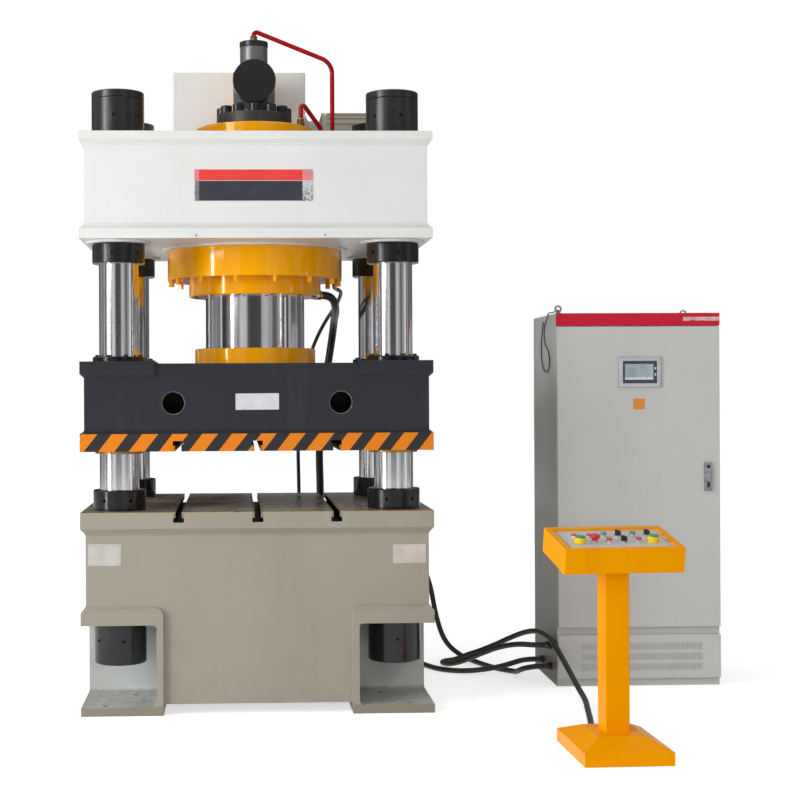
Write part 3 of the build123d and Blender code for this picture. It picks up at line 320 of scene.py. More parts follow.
def addSocketScrew(bm, place, radius, height):
    # cap screw with a hexagon socket
    soft = radius * 0.12
    stack(bm, [circle(radius, 0), circle(radius, height - soft), circle(radius - soft, height),
               hexagon(radius * 1.02, height), hexagon(radius * 0.98, height - radius * 0.15),
               hexagon(radius * 0.98, height * 0.45)], place)


def addHexHead(bm, place, across, height):
    stack(bm, [hexagon(across, 0), hexagon(across, height * 0.82), circle(across * 0.47, height)], place)


def onFront(x, y, z):
    # a place on an upright face that looks toward the operator
    return at(x, y, z) @ turned(math.pi / 2, "X")


corners = [(sx, sy) for sx in (-1, 1) for sy in (-1, 1)]


# cords: the same route points as the solids, in metres

cordLooks = Look(
    cable=tone(34, 32, 30), cableDust=tone(92, 84, 74), hose=tone(30, 29, 28), hosePrint=tone(70, 66, 60),
    string=tone(38, 36, 36))

cordRoutes = Look(
    motor_cable=Look(length=1.365, diameter=0.027, stiffness="medium", route=(
        (0.804, 0.6655, 0.55), (0.846, 0.6655, 0.55), (0.9, 0.672, 0.505), (0.938, 0.68, 0.4),
        (0.965, 0.686, 0.24), (1.012, 0.69, 0.1), (1.105, 0.684, 0.024), (1.17, 0.56, 0.014),
        (1.226, 0.4, 0.014), (1.306, 0.3, 0.014), (1.316, 0.236, 0.022), (1.318, 0.18, 0.038),
        (1.328, 0.134, 0.054), (1.352, 0.104, 0.066), (1.388, 0.09, 0.074), (1.43, 0.09, 0.074))),
    valve_cable=Look(length=1.383, diameter=0.027, stiffness="medium", route=(
        (0.66, 0.6655, 0.464), (0.66, 0.6655, 0.38), (0.664, 0.69, 0.25), (0.69, 0.725, 0.12),
        (0.745, 0.742, 0.03), (0.835, 0.672, 0.014), (0.885, 0.5, 0.014), (0.95, 0.362, 0.014),
        (1.08, 0.306, 0.014), (1.22, 0.296, 0.032), (1.31, 0.291, 0.058), (1.37, 0.287, 0.076),
        (1.43, 0.287, 0.076))),
    console_cable=Look(length=2.919, diameter=0.027, stiffness="medium", route=(
        (1.43, 0.078, 0.181), (1.385, 0.078, 0.181), (1.295, 0.098, 0.186), (1.218, 0.205, 0.152),
        (1.16, 0.3, 0.11), (1.104, 0.392, 0.066), (1.05, 0.458, 0.032), (1.004, 0.514, 0.016),
        (0.978, 0.574, 0.014), (1.006, 0.628, 0.014), (1.064, 0.648, 0.016), (1.122, 0.62, 0.046),
        (1.18, 0.558, 0.076), (1.25, 0.475, 0.122), (1.318, 0.38, 0.175), (1.372, 0.285, 0.216),
        (1.412, 0.18, 0.238), (1.44, 0.085, 0.226), (1.447, -0.015, 0.218), (1.452, -0.112, 0.194),
        (1.48, -0.22, 0.122), (1.505, -0.34, 0.048), (1.512, -0.47, 0.014), (1.478, -0.66, 0.014),
        (1.446, -0.85, 0.014), (1.422, -0.98, 0.014), (1.403, -1.08, 0.017), (1.39644, -1.135, 0.027),
        (1.39783, -1.188, 0.027))),
    main_hose=Look(length=1.462, diameter=0.04, stiffness="stiff", route=(
        (0.3311, 0.2234, 1.929), (0.372, 0.251, 1.929), (0.4, 0.294, 1.911), (0.413, 0.348, 1.886),
        (0.42, 0.412, 1.863), (0.424, 0.492, 1.846), (0.425, 0.575, 1.835), (0.425, 0.64, 1.812),
        (0.422, 0.684, 1.764), (0.414, 0.706, 1.7), (0.402, 0.714, 1.62), (0.376, 0.716, 1.47),
        (0.354, 0.717, 1.29), (0.347, 0.717, 1.11), (0.352, 0.716, 0.95), (0.352, 0.716, 0.84))),
    drain_hose=Look(length=1.591, diameter=0.019, stiffness="medium", route=(
        (0.4021, 0.1122, 1.954), (0.42, 0.15, 1.95), (0.433, 0.205, 1.944), (0.438, 0.28, 1.934),
        (0.436, 0.35, 1.922), (0.432, 0.42, 1.906), (0.423, 0.5, 1.884), (0.408, 0.59, 1.86),
        (0.38, 0.652, 1.815), (0.346, 0.702, 1.75), (0.312, 0.726, 1.669), (0.284, 0.729, 1.57),
        (0.256, 0.725, 1.44), (0.238, 0.72, 1.29), (0.234, 0.717, 1.12), (0.238, 0.716, 0.96),
        (0.238, 0.716, 0.84))),
    tie_cord=Look(length=0.94, diameter=0.006, stiffness="limp", route=(
        (1.486, -0.022, 1.8375), (1.486, 0.012, 1.8375), (1.476, 0.046, 1.83), (1.456, 0.088, 1.828),
        (1.459, 0.128, 1.8), (1.46, 0.19, 1.778), (1.46, 0.214, 1.722), (1.46, 0.172, 1.664),
        (1.46, 0.096, 1.64), (1.46, 0.062, 1.582), (1.46, 0.11, 1.536), (1.46, 0.19, 1.536),
        (1.46, 0.262, 1.572), (1.46, 0.29, 1.65), (1.46, 0.262, 1.728), (1.46, 0.226, 1.79))))


def cordFinish(name, colour, dust, wrap):
    sheath = layered(name, (colour, 0.46), (((0.5, 0.72, 14, 4), 0.3, dust, 0.62),), 0.0004, wrap, 2)
    low = sheath.below(sheath.along("Z"), 0.0, 0.05)
    sheath.over((low, sheath.spots(0.42, 0.6, 40), 0.5), dust, 0.7)
    return sheath.close()


def makeCords():
    look = cordLooks
    sheath = cordFinish("cableSheath", look.cable, look.cableDust, 160)
    cover = cordFinish("hoseCover", look.hose, look.hosePrint, 420)
    string = cordFinish("tieString", look.string, look.cableDust, 900)
    for name, cord in cordRoutes.items():
        curve = bpy.data.curves.new(name + "_line", "CURVE")
        curve.dimensions = "3D"
        spline = curve.splines.new("NURBS")
        spline.points.add(len(cord.route) - 1)
        for point, place in zip(spline.points, cord.route):
            point.co = (*place, 1.0)
        spline.order_u = 3
        spline.use_endpoint_u = True
        spline.resolution_u = 12
        curve.bevel_depth = cord.diameter / 2
        curve.bevel_resolution = 5
        curve.use_fill_caps = True
        obj = linked(name + "_line", curve)
        curve.materials.append(string if name == "tie_cord" else cover if "hose" in name else sheath)
        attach(obj, "frame")
        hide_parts(name)
    print("cords:", len(cordRoutes))


makeCords()


# stage and lights: white room, big soft lamp from the upper left, weak ones from the side and the front

studio = Look(
    floor=tone(232, 232, 232), floorGlow=0.62, floorDrop=0.0005, ambient=0.5, white=(1, 1, 1, 1),
    lamps=Look(
        keyLamp=Look(place=(-6.5, -5.3, 4.3), aim=(0.2, -0.2, 1.3), size=(3.4, 3.2), power=200, shows=True),
        stripLamp=Look(place=(-5.9, -4.0, 2.2), aim=(0.0, 0.0, 2.2), size=(0.5, 4.2), power=130, shows=True),
        sideLamp=Look(place=(-7.0, -2.4, 2.0), aim=(1.2, -1.2, 0.9), size=(1.6, 1.6), power=134, shows=False),
        frontLamp=Look(place=(0.6, -9.0, 2.5), aim=(0.4, 0.0, 1.6), size=(3.0, 3.0), power=96, shows=False)),
    # grey panels round the room, that only show as bands in gloss and chrome: from, to, grey
    panelDistance=15.0, panelHeight=11.0,
    panels=((-180, -140, 40), (-140, -122, 128), (-122, -114, 178), (-114, -87, 144), (-84, -71, 54),
            (-62, -50, 170), (-50, -37, 128), (-37, -19, 222), (-19, 14, 74), (14, 29, 206),
            (29, 39, 170), (39, 51, 100), (51, 67, 168), (75, 83, 56), (83, 90, 186), (90, 108, 106),
            (108, 114, 150), (114, 150, 100), (150, 180, 116)))


def makePanels():
    far, tall = studio.panelDistance, studio.panelHeight
    for number, (start, end, grey) in enumerate(studio.panels):
        cloth = Finish("panelCloth_" + str(number), tone(0, 0, 0), 1.0)
        drift = cloth.mix(cloth.spots(0.35, 0.65, 0.5, 3), tone(grey, grey, grey + 2), tone(*[grey * 0.85] * 3))
        cloth.feed(cloth.shader["Emission Color"], drift)
        cloth.feed(cloth.shader["Emission Strength"], 1.0)
        steps = max(2, int((end - start) / 4))
        angles = [math.radians(start + (end - start) * i / steps) for i in range(steps + 1)]
        bm = bmesh.new()
        addGrid(bm, [[(far * math.sin(angle), -far * math.cos(angle), height) for angle in angles]
                     for height in (0.0, tall / 2, tall)])
        panel = meshed("panel_" + str(number), bm, cloth.close(spec=0.0))
        panel.visible_camera = panel.visible_diffuse = False
        panel.visible_shadow = panel.visible_transmission = False


def makeStage():
    ground = Finish("studioFloor", studio.floor, 0.9)
    ground.feed(ground.shader["Emission Strength"], ground.both(ground.seen(), studio.floorGlow))
    ground.feed(ground.shader["Emission Color"], studio.white)
    bm = bmesh.new()
    edge = range(-60, 61, 15)
    addGrid(bm, [[(x, y, 0) for x in edge] for y in edge])
    floor = meshed("floor", bm, ground.close(spec=0.0))
    floor.location.z = -studio.floorDrop
    world = bpy.data.worlds.new("studio")
    scene.world = world
    world.use_nodes = True
    room = Tree(world.node_tree)
    back = room.tree.nodes["Background"].inputs
    room.feed(back["Color"], studio.white)
    room.feed(back["Strength"], room.span(room.seen(), 0.0, 1.0, studio.ambient, 1.0))
    makePanels()
    for name, look in studio.lamps.items():
        lamp = bpy.data.lights.new(name, "AREA")
        lamp.shape = "RECTANGLE"
        lamp.size, lamp.size_y = look.size
        lamp.energy = look.power
        obj = linked(name, lamp)
        obj.location = look.place
        obj.visible_glossy = look.shows
        obj.rotation_mode = "QUATERNION"
        obj.rotation_quaternion = (Vector(look.aim) - Vector(look.place)).to_track_quat("-Z", "Y")
    print("stage and lamps")


makeStage()


# painted metal in general: soft colour drift, streaks, specks, orange peel, chips at the edges

paintLook = Look(
    patch=2.2, dull=0.1, peel=220, peelDepth=0.00035, wave=0.0016, chipWidth=0.002, chipFrom=0.56, rounding=0.0022,
    sheen=0.3, coat=(0.0, 0.12), glint=(1, 1, 1, 1))


def painted(name, look):
    look = Look(paintLook, **look)
    paint = Finish(name, look.colour, look.gloss)
    paint.over((paint.spots(0.35, 0.7, look.patch, 4, 0.6), 0.6), look.shade, look.gloss + look.dull)
    paint.over((paint.spots(0.56, 0.76, 9, 5, 0.65, (1, 1, 0.12)), look.streaks), look.dirt)
    speck = paint.below(paint.cells(60), 0.0, 0.07)
    paint.over((speck, paint.spots(0.55, 0.62, 7, 2), look.specks), look.dirt)
    paint.raised(look.peelDepth, look.peel, 2)
    paint.raised(look.wave, 3.2, 2)
    broken = paint.spots(look.chipFrom, look.chipFrom + 0.05, 38, 5, 0.7)
    paint.over((paint.edges(look.chipWidth), broken, look.chips), look.bare, 0.45)
    return paint


def plainPaint(name, look):
    look = Look(paintLook, **look)
    paint = painted(name, look)
    if "dust" in look:
        up = paint.span(paint.facing("Z"), 0.6, 0.85)
        paint.over((up, paint.spots(*look.dustGrain), look.dustShare), look.dust, look.dustRough)
    return paint.close(look.rounding, look.sheen, look.coat, look.glint)


slots = Look(middles=(-0.354, 0.0, 0.354), halfWide=0.0245, reach=0.6423)


def openSlots(paint, low, high):
    # the three T-slots of bed and slide, between two levels
    across, depth = paint.along("X"), paint.away("Y")
    inside = 0.0
    for middle in slots.middles:
        slot = paint.within(across, middle - slots.halfWide, middle + slots.halfWide)
        inside = paint.sum("ADD", slot, inside)
    return paint.both(inside, paint.within(paint.along("Z"), low, high), paint.within(depth, -1, slots.reach))


bedLook = Look(
    colour=tone(161, 156, 142), shade=tone(151, 145, 131), dirt=tone(128, 118, 98), bare=tone(70, 62, 52), gloss=0.34,
    streaks=0.12, specks=0.4, chips=0.75, chipWidth=0.004, table=tone(206, 192, 172), tableOil=tone(152, 128, 104),
    scratch=tone(190, 182, 168), wiped=tone(204, 200, 192), slot=tone(22, 20, 18), niche=tone(196, 200, 198),
    stain=tone(112, 100, 82), edgeLine=tone(186, 150, 88), nicheWide=(0.4537, 0.7915), nicheDeep=(0.2217, 0.6415),
    nicheTall=(0.0375, 0.4045), tableFrom=0.908, slotLevels=(0.8625, 0.9088))


def bedFinish():
    look = bedLook
    paint = painted("bedPaint", look)
    height = paint.along("Z")
    paint.over((paint.below(height, 0.02, 0.3), paint.spots(0.46, 0.66, 11, 6, 0.65), 0.2), look.dirt, 0.6)
    paint.over((paint.below(height, 0.04, 0.046), 0.55), look.dirt, 0.6)
    # painted light: inside the niches the paint is a paler bluish tone, a painted reflection of light
    inside = paint.both(paint.within(paint.away("X"), *look.nicheWide), paint.within(paint.away("Y"), *look.nicheDeep),
                        paint.within(height, *look.nicheTall))
    paint.over(inside, look.niche, 0.55)
    floor = paint.within(height, 0.03, 0.046, 0.004)
    paint.over((inside, floor, paint.spots(0.36, 0.74, 26, 7, 0.75), 0.7), look.stain, 0.7)
    paint.over((inside, paint.spots(0.45, 0.7, 5, 5), 0.35), look.stain, 0.6)
    # machined table with its slots
    up = paint.span(paint.facing("Z"), 0.6, 0.8)
    oil = paint.spots(0.3, 0.66, 3.4, 5, 0.6)
    steel = paint.mix(oil, look.table, look.tableOil)
    steel = paint.mix(paint.both(paint.grain(30, 4, 0.6, (0.25, 6, 1)), 0.35), steel, look.scratch)
    wiped = paint.spots(0.46, 0.72, 2.2, 4, 0.6, (0.55, 2.2, 1), (0.7, 0.2, 0))
    steel = paint.mix(paint.both(wiped, 0.5), steel, look.wiped)
    paint.over((up, paint.span(height, look.tableFrom, 0.9086)), steel, paint.span(oil, 0, 1, 0.36, 0.2), 0.45)
    # painted shade: the inside of the slots is painted near black
    paint.over(openSlots(paint, *look.slotLevels), look.slot, 0.5, 0.5)
    # painted highlight: a thin ochre line along the chamfer at the top of the table's front edge
    line = paint.both(paint.span(height, 0.9052, 0.9058), paint.below(up, 0, 1))
    paint.over((line, paint.spots(0.35, 0.5, 20, 3)), look.edgeLine, 0.5)
    return paint.close(0.0022, 0.3)


crownLook = Look(
    colour=tone(226, 227, 225), shade=tone(218, 219, 216), dirt=tone(176, 170, 156), bare=tone(120, 116, 108),
    gloss=0.3, streaks=0.07, specks=0.25, chips=0.5, chipFrom=0.6, chipWidth=0.003, rounding=0.0025,
    dust=tone(190, 184, 170), dustGrain=(0.3, 0.7, 4, 5), dustShare=0.55, dustRough=0.7)

slideLook = Look(
    colour=tone(41, 43, 49), shade=tone(36, 38, 42), dirt=tone(78, 76, 72), hole=tone(8, 8, 9),
    bare=tone(120, 112, 100), gloss=0.33, streaks=0.2, specks=0.3, chips=0.6, chipWidth=0.004,
    face=tone(120, 114, 104), scratch=tone(158, 152, 142), rim=tone(190, 182, 168), stripe=tone(226, 126, 0),
    stripeDark=tone(42, 42, 44), share=0.53, lean=0.78, count=7.584, spread=0.24,
    tapeLevels=(1.1812, 1.2597), slotLevels=(1.1812, 1.2285), holeAcross=0.376, holeLevel=1.397)


def slideFinish():
    look = slideLook
    paint = painted("slidePaint", look)
    height, depth = paint.along("Z"), paint.away("Y")
    # stripes of a hand-laid tape: a little wider toward the left end
    side = paint.span(paint.away("X", "Normal"), 0.6, 0.8)
    run = paint.blend(side, paint.along("X"), paint.along("Y"))
    lean = paint.both(paint.sum("SUBTRACT", height, 1.2451), look.lean)
    reach = paint.sum("ADD", paint.sum("SUBTRACT", run, lean), 0.125)
    turns = paint.sum("ADD", paint.both(reach, look.count), paint.both(reach, reach, look.spread))
    part = paint.sum("FRACT", paint.sum("ADD", turns, 14.0))
    tape = paint.mix(paint.within(part, 0.0, look.share, 0.006), look.stripeDark, look.stripe)
    worn = paint.spots(0.68, 0.74, 46, 5, 0.7)
    upright = paint.below(paint.away("Z", "Normal"), 0.3, 0.5)
    band = paint.within(height, *look.tapeLevels, 0.0004)
    paint.over((band, upright), paint.mix(worn, tape, look.stripeDark), 0.38)
    under = (paint.below(paint.facing("Z"), -0.8, -0.6), paint.below(height, 1.1814, 1.1818))
    paint.over(under, paint.mix(paint.grain(20, 4, 0.6, (0.3, 5, 1)), look.face, look.scratch), 0.34, 0.75)
    # the lightening holes are painted near black inside as painted shade, and the pale ring at their rim is a painted
    # highlight
    across = paint.sum("SUBTRACT", paint.away("X"), look.holeAcross)
    rise = paint.sum("SUBTRACT", height, look.holeLevel)
    reach = paint.sum("SQRT", paint.sum("ADD", paint.both(across, across), paint.both(rise, rise)))
    paint.over((paint.below(reach, 0.0508, 0.0512), paint.within(depth, 0.4, 0.6236)), look.hole, 0.7)
    paint.over((paint.within(reach, 0.049, 0.0508, 0.0002), paint.within(depth, 0.6195, 0.6255)), look.rim, 0.4)
    # the inside of the slots is painted black as painted shade
    paint.over(openSlots(paint, *look.slotLevels), look.hole, 0.55)
    return paint.close(0.0022, 0.3)


hydraulicLook = Look(
    colour=tone(255, 176, 2), shade=tone(252, 162, 1), dirt=tone(176, 112, 22), bare=tone(96, 84, 64), gloss=0.2,
    dull=0.06, streaks=0.1, specks=0.2, chips=0.4, chipFrom=0.62, chipWidth=0.0025, rounding=0.002, sheen=0.4,
    coat=(0.8, 0.05), glint=tone(255, 190, 60), dust=tone(206, 150, 62), dustGrain=(0.35, 0.7, 8, 5), dustShare=0.45,
    dustRough=0.55)

chromeLook = Look(colour=tone(234, 234, 237), haze=tone(214, 213, 211), oil=tone(202, 195, 180))


def chromeFinish(name, polish):
    look = chromeLook
    streaks = (0.45, 0.7, 34, 4, 0.6, (1, 1, 0.03))
    return layered(name, (look.colour, polish, 1.0), ((streaks, 0.5, look.haze, polish + 0.08),
                   ((0.5, 0.75, 3, 4, 0.6), 0.4, look.oil, polish + 0.05)),
                   0.000012, 60, 2, 0.5, (0.3, 0.3, 12)).close(0.0015)


blackSteelLook = Look(
    colour=tone(14, 14, 16), shade=tone(24, 23, 23), dust=tone(44, 43, 43), worn=tone(92, 88, 86),
    rust=tone(96, 66, 44))


def blackSteelFinish():
    look = blackSteelLook
    steel = Finish("blackOxide", look.colour, 0.18)
    steel.over((steel.spots(0.4, 0.7, 9, 5, 0.6), 0.6), look.shade, 0.27)
    # the nuts are painted paler the higher they stand, dust together with painted light, and the low ones stay black
    # as painted shade
    height = steel.along("Z")
    steel.over((steel.span(height, 1.85, 2.6, 0.25, 1.0), steel.span(height, 1.84, 1.86), 0.85), look.dust, 0.28)
    steel.over((steel.edges(0.0022), steel.spots(0.42, 0.6, 60, 4), 0.6), look.worn, 0.3, 1.0)
    steel.over((steel.spots(0.66, 0.72, 28, 5), 0.4), look.rust, 0.7, 0.2)
    steel.raised(0.0001, 120, 2, 0.5, (0.4, 0.4, 6))
    return steel.close(0.0015, 0.42)


valveLook = Look(colour=tone(122, 122, 120), flange=tone(74, 73, 71), shade=tone(98, 98, 97), dirt=tone(60, 56, 50))


def valveFinish():
    look = valveLook
    cast = Finish("valveCasting", look.colour, 0.36, 0.6)
    cast.over(cast.spots(0.4, 0.7, 10, 5), look.shade, 0.44)
    cast.over(cast.below(cast.along("Z"), 2.786, 2.789), look.flange, 0.42)
    cast.over((cast.spots(0.55, 0.68, 22, 6, 0.7), 0.5), look.dirt, 0.6)
    cast.raised(0.0005, 180, 4, 0.6)
    return cast.close(0.003)


def galvanisedFinish():
    zinc = Finish("zincPlate", tone(178, 181, 186), 0.32, 0.9)
    zinc.over(zinc.span(zinc.cells(60), 0.1, 0.6), tone(150, 153, 158), 0.4)
    zinc.over((zinc.spots(0.6, 0.7, 30, 4), 0.5), tone(120, 112, 100), 0.55)
    zinc.raised(0.0002, 140, 3)
    return zinc.close(0.0012)


tankLook = Look(
    colour=tone(228, 229, 227), shade=tone(220, 220, 216), dirt=tone(170, 163, 148), bare=tone(110, 104, 96),
    gloss=0.36, streaks=0.12, specks=0.3, chips=0.5, chipFrom=0.6, rounding=0.002)

# the motor is a bought part in its own grey
motorLook = Look(
    tankLook, colour=tone(196, 188, 172), shade=tone(182, 173, 156), dirt=tone(130, 122, 106), rounding=0.003)

cabinetLook = Look(
    colour=tone(205, 205, 202), shade=tone(199, 198, 194), dirt=tone(158, 153, 142), bare=tone(110, 108, 104),
    gloss=0.4, dull=0.04, streaks=0.12, specks=0.12, peel=900, peelDepth=0.00022, wave=0.0006, patch=1.2, chips=0.3,
    chipFrom=0.64, grime=tone(98, 90, 72), paleTop=tone(232, 235, 238))

headerLook = Look(
    colour=tone(212, 40, 62), shade=tone(198, 34, 56), dirt=tone(198, 34, 56), bare=tone(226, 206, 202), sheen=0.2,
    glint=tone(255, 120, 120), gloss=0.26, streaks=0.15, specks=0.2, chips=0.9, chipFrom=0.5, peel=500,
    rounding=0.001, coat=(0.15, 0.12))

consoleLook = Look(
    colour=tone(255, 168, 0), shade=tone(248, 156, 0), dirt=tone(160, 112, 34), bare=tone(110, 96, 70), sheen=0.03,
    glint=tone(255, 180, 40), gloss=0.24, dull=0.06, streaks=0.12, specks=0.25, chips=0.5, chipFrom=0.6, peel=420,
    wave=0.0006, rounding=0.0015)

panelLook = Look(
    colour=tone(206, 206, 201), shade=tone(196, 196, 190), dirt=tone(150, 146, 136), bare=tone(150, 146, 138),
    gloss=0.38, streaks=0.1, specks=0.2, chips=0.3, peel=800, peelDepth=0.0002, wave=0.0002, rounding=0.0006,
    coat=(0.1, 0.12))


def cabinetFinish():
    look = cabinetLook
    paint = painted("cabinetPaint", look)
    height = paint.along("Z")
    # painted light: the sides are painted darker low down as painted shade, and paler at the top as a painted
    # reflection
    side = paint.span(paint.away("X", "Normal"), 0.6, 0.8)
    ragged = paint.sum("ADD", height, paint.both(paint.grain(2.4, 5, 0.6), 0.5))
    paint.over((side, paint.below(ragged, 0.35, 2.0), 0.85), look.grime, 0.55)
    paint.over((side, paint.span(height, 1.4, 1.72), 0.7), look.paleTop)
    return paint.close(0.0015, 0.3)


# console head: where its sloping panel stands, and the colours of what sits on it

head = Look(
    place=(1.405, -1.462, 0.811), turn=math.radians(5.5), tilt=math.radians(12), level=0.042, pitch=0.06, row=0.038,
    stem=tone(222, 222, 224), yellow=tone(250, 214, 24), yellowShade=tone(240, 200, 20), line=tone(186, 52, 52),
    lineShade=tone(170, 44, 46), redLens=tone(208, 34, 44), lensShade=tone(184, 22, 32))


def plasticFinish(name, colour, shade, rough=0.3, stem=False):
    plastic = layered(name, (colour, rough), (
        ((0.4, 0.7, 26, 4), 1, shade, rough + 0.08), ((0.64, 0.72, 110, 4), 0.35, tone(150, 142, 130), 0.6)),
        0.0001, 700, 2)
    if stem:
        # below the head the control is a bright metal stem
        tilt, turn = head.tilt, head.turn
        up = (math.sin(tilt) * math.sin(turn), -math.sin(tilt) * math.cos(turn), math.cos(tilt))
        shifted = plastic.node("VectorMath", {0: plastic.place, 1: head.place}, operation="SUBTRACT").outputs[0]
        rise = plastic.node("VectorMath", {0: shifted, 1: up}, operation="DOT_PRODUCT").outputs["Value"]
        plastic.over(plastic.below(rise, 0.0532, 0.0536), head.stem, 0.25, 0.6)
    return plastic.close(0.0008, coat=(0.2, 0.1))


finishes = {
    "bed_paint": bedFinish(),
    "column_chrome": chromeFinish("columnChrome", 0.14),
    "ram_chrome": chromeFinish("ramChrome", 0.11),
    "bezel_chrome": layered("satinSteel", (tone(226, 226, 228), 0.28, 0.55), (
        ((0.45, 0.7, 60, 4), 1, tone(196, 196, 198), 0.36), ((0.6, 0.7, 140, 4), 0.5, tone(120, 116, 110), 0.5)),
        0.00005, 300, 2, 0.5, (1, 1, 8)).close(0.0006),
    "black_steel": blackSteelFinish(),
    "crown_paint": plainPaint("crownPaint", crownLook),
    "hydraulic_paint": plainPaint("hydraulicPaint", hydraulicLook),
    "bronze": layered("bronze", (tone(176, 132, 72), 0.3, 1.0), (
        ((0.4, 0.7, 24, 4), 1, tone(134, 96, 52), 0.42),), 0.0001, 90, 2, 0.5, (0.4, 0.4, 8)).close(0.001),
    "packing_rubber": layered("packingRubber", (tone(30, 29, 28), 0.6), (
        ((0.45, 0.7, 40, 4), 1, tone(46, 43, 40), 0.7),), 0.0002, 300, 2).close(),
    "valve_paint": valveFinish(),
    "pipe_paint": layered("pilotPipePaint", (tone(176, 10, 26), 0.16), (
        ((0.4, 0.7, 12, 4), 1, tone(138, 6, 18), 0.22), ((0.68, 0.74, 70, 4), 0.6, tone(90, 60, 50), 0.5)),
        0.0004, 90, 2).close(spec=0.25, coat=(0.25, 0.05), tint=tone(255, 90, 90)),
    "brass": layered("brass", (tone(196, 160, 92), 0.28, 1.0), (
        ((0.4, 0.65, 30, 5), 1, tone(142, 118, 70), 0.4), ((0.56, 0.68, 80, 4), 0.7, tone(84, 72, 48), 0.5)),
        0.0002, 200, 2).close(0.001),
    "tank_paint": plainPaint("tankPaint", tankLook),
    "cast_iron": layered("castIron", (tone(70, 70, 70), 0.55, 0.4), (
        ((0.4, 0.7, 16, 5), 1, tone(52, 50, 48), 0.65),), 0.0008, 150, 4, 0.65).close(0.002),
    "slide_paint": slideFinish(),
    "cabinet_paint": cabinetFinish(),
    "red_paint": plainPaint("headerPaint", headerLook),
    "galvanised": galvanisedFinish(),
    "grey_plastic": plasticFinish("greyPlastic", tone(96, 98, 102), tone(84, 86, 90), 0.42),
    "console_paint": plainPaint("consolePaint", consoleLook),
    "panel_paint": plainPaint("panelPaint", panelLook),
    "green_plastic": plasticFinish("greenPlastic", tone(58, 142, 92), tone(46, 122, 76), stem=True),
    "red_plastic": plasticFinish("redPlastic", tone(214, 34, 40), tone(190, 24, 30), stem=True),
    "black_plastic": plasticFinish("blackPlastic", tone(26, 26, 28), tone(36, 35, 35))}


def dressFrame():
    # every solid takes the finish of its slot, only the motor has its own
    motor = plainPaint("motorPaint", motorLook)
    for part in frame["record"]["subparts"]:
        if part["node"] in cordRoutes:
            continue
        mesh = nodes[part["node"]].data
        mesh.materials.clear()
        mesh.materials.append(motor if part["node"] == "pump_motor" else finishes[part["material_slot"]])
    print("finishes:", len(finishes))


dressFrame()


# sheets and plates fixed to the press: none of them carries words

def plateFinish(name, colour, shade, rough, metal=0.0):
    return layered(name, (colour, rough, metal), (
        ((0.4, 0.7, 18, 4), 1, shade, rough + 0.1), ((0.62, 0.7, 90, 4, 0.7), 0.4, tone(128, 120, 106), 0.6)),
        0.0002, 160, 3)


def addSheet(bm, face, across, up, thick, wave, seed):
    # thin film that doesn't lie quite flat on an upright face, closed down to the face all round
    (left, right, columns), (low, high, rows) = across, up
    points = []
    for j in range(rows + 1):
        z = low + (high - low) * j / rows
        row = []
        for i in range(columns + 1):
            x = left + (right - left) * i / columns
            lift = wave * (0.5 + 0.5 * noise.noise(Vector((x * 22, seed, z * 22))))
            row.append((x, face - thick - lift, z))
        points.append(row)
    grid = addGrid(bm, points)
    border = grid[0] + [row[-1] for row in grid[1:]] + grid[-1][-2::-1] + [row[0] for row in grid[-2:0:-1]]
    foot = [bm.verts.new((vert.co.x, face, vert.co.z)) for vert in border]
    for i in range(len(border)):
        j = (i + 1) % len(border)
        bm.faces.new((border[i], foot[i], foot[j], border[j]))
    bm.faces.new(foot)


crownBand = Look(
    left=-0.274, right=0.252, low=2.304, high=2.4439, face=-0.6205, thick=0.001, seam=2.3946, dark=tone(54, 54, 64),
    darkShade=tone(62, 60, 70), red=tone(232, 66, 58), redShade=tone(222, 58, 52), line=tone(206, 200, 196),
    tape=tone(206, 208, 212), cloud=tone(128, 128, 136), tapedDark=tone(104, 106, 114), tapedRed=tone(226, 128, 138),
    ends=((-0.277, -0.2555), (0.2085, 0.2545)))


def makeCrownBand():
    look = crownBand
    low, high, seam, thick = look.low, look.high, look.seam, look.thick
    film = plateFinish("bandFilm", look.dark, look.darkShade, 0.4)
    height = film.along("Z")
    film.over(film.span(height, seam - 0.0003, seam + 0.0003),
              film.mix(film.spots(0.4, 0.7, 14, 3), look.red, look.redShade))
    film.over(film.within(height, seam - 0.0014, seam + 0.0008, 0.0003), look.line)
    bm = bmesh.new()
    addSheet(bm, look.face, (look.left, look.right, 42), (low, high, 12), thick, 0.0007, 3)
    keep("crownBand", bm, "crown_paint", film.close(spec=0.3))
    # clear tape over both ends, cloudy with age
    tape = Finish("clearTape", look.tape, 0.26)
    across, height = tape.along("X"), tape.along("Z")
    lower = tape.span(height, seam - 0.01, low + 0.03)
    tape.over((tape.spots(0.46, 0.54, 60, 6, 0.7), tape.span(lower, 0, 1, 0.3, 1.0)), look.cloud, 0.4)
    tape.over((tape.within(across, look.left, look.right, 0.0006), tape.within(height, low, seam, 0.0006),
               tape.below(across, -0.02, 0.02), 0.85), look.tapedDark, 0.32)
    red = tape.span(height, seam - 0.0003, seam + 0.0003)
    tape.over((red, tape.within(height, 2.0, high, 0.0004)), look.tapedRed, 0.3)
    tape.raised(0.0008, 120, 5, 0.7)
    bm = bmesh.new()
    for left, right in look.ends:
        addSheet(bm, look.face, (left, right, 6), (low - 0.002, high + 0.002, 14), thick + 0.0006, 0.001, 11)
    keep("bandTape", bm, "crown_paint", tape.close(coat=(0.4, 0.1)))


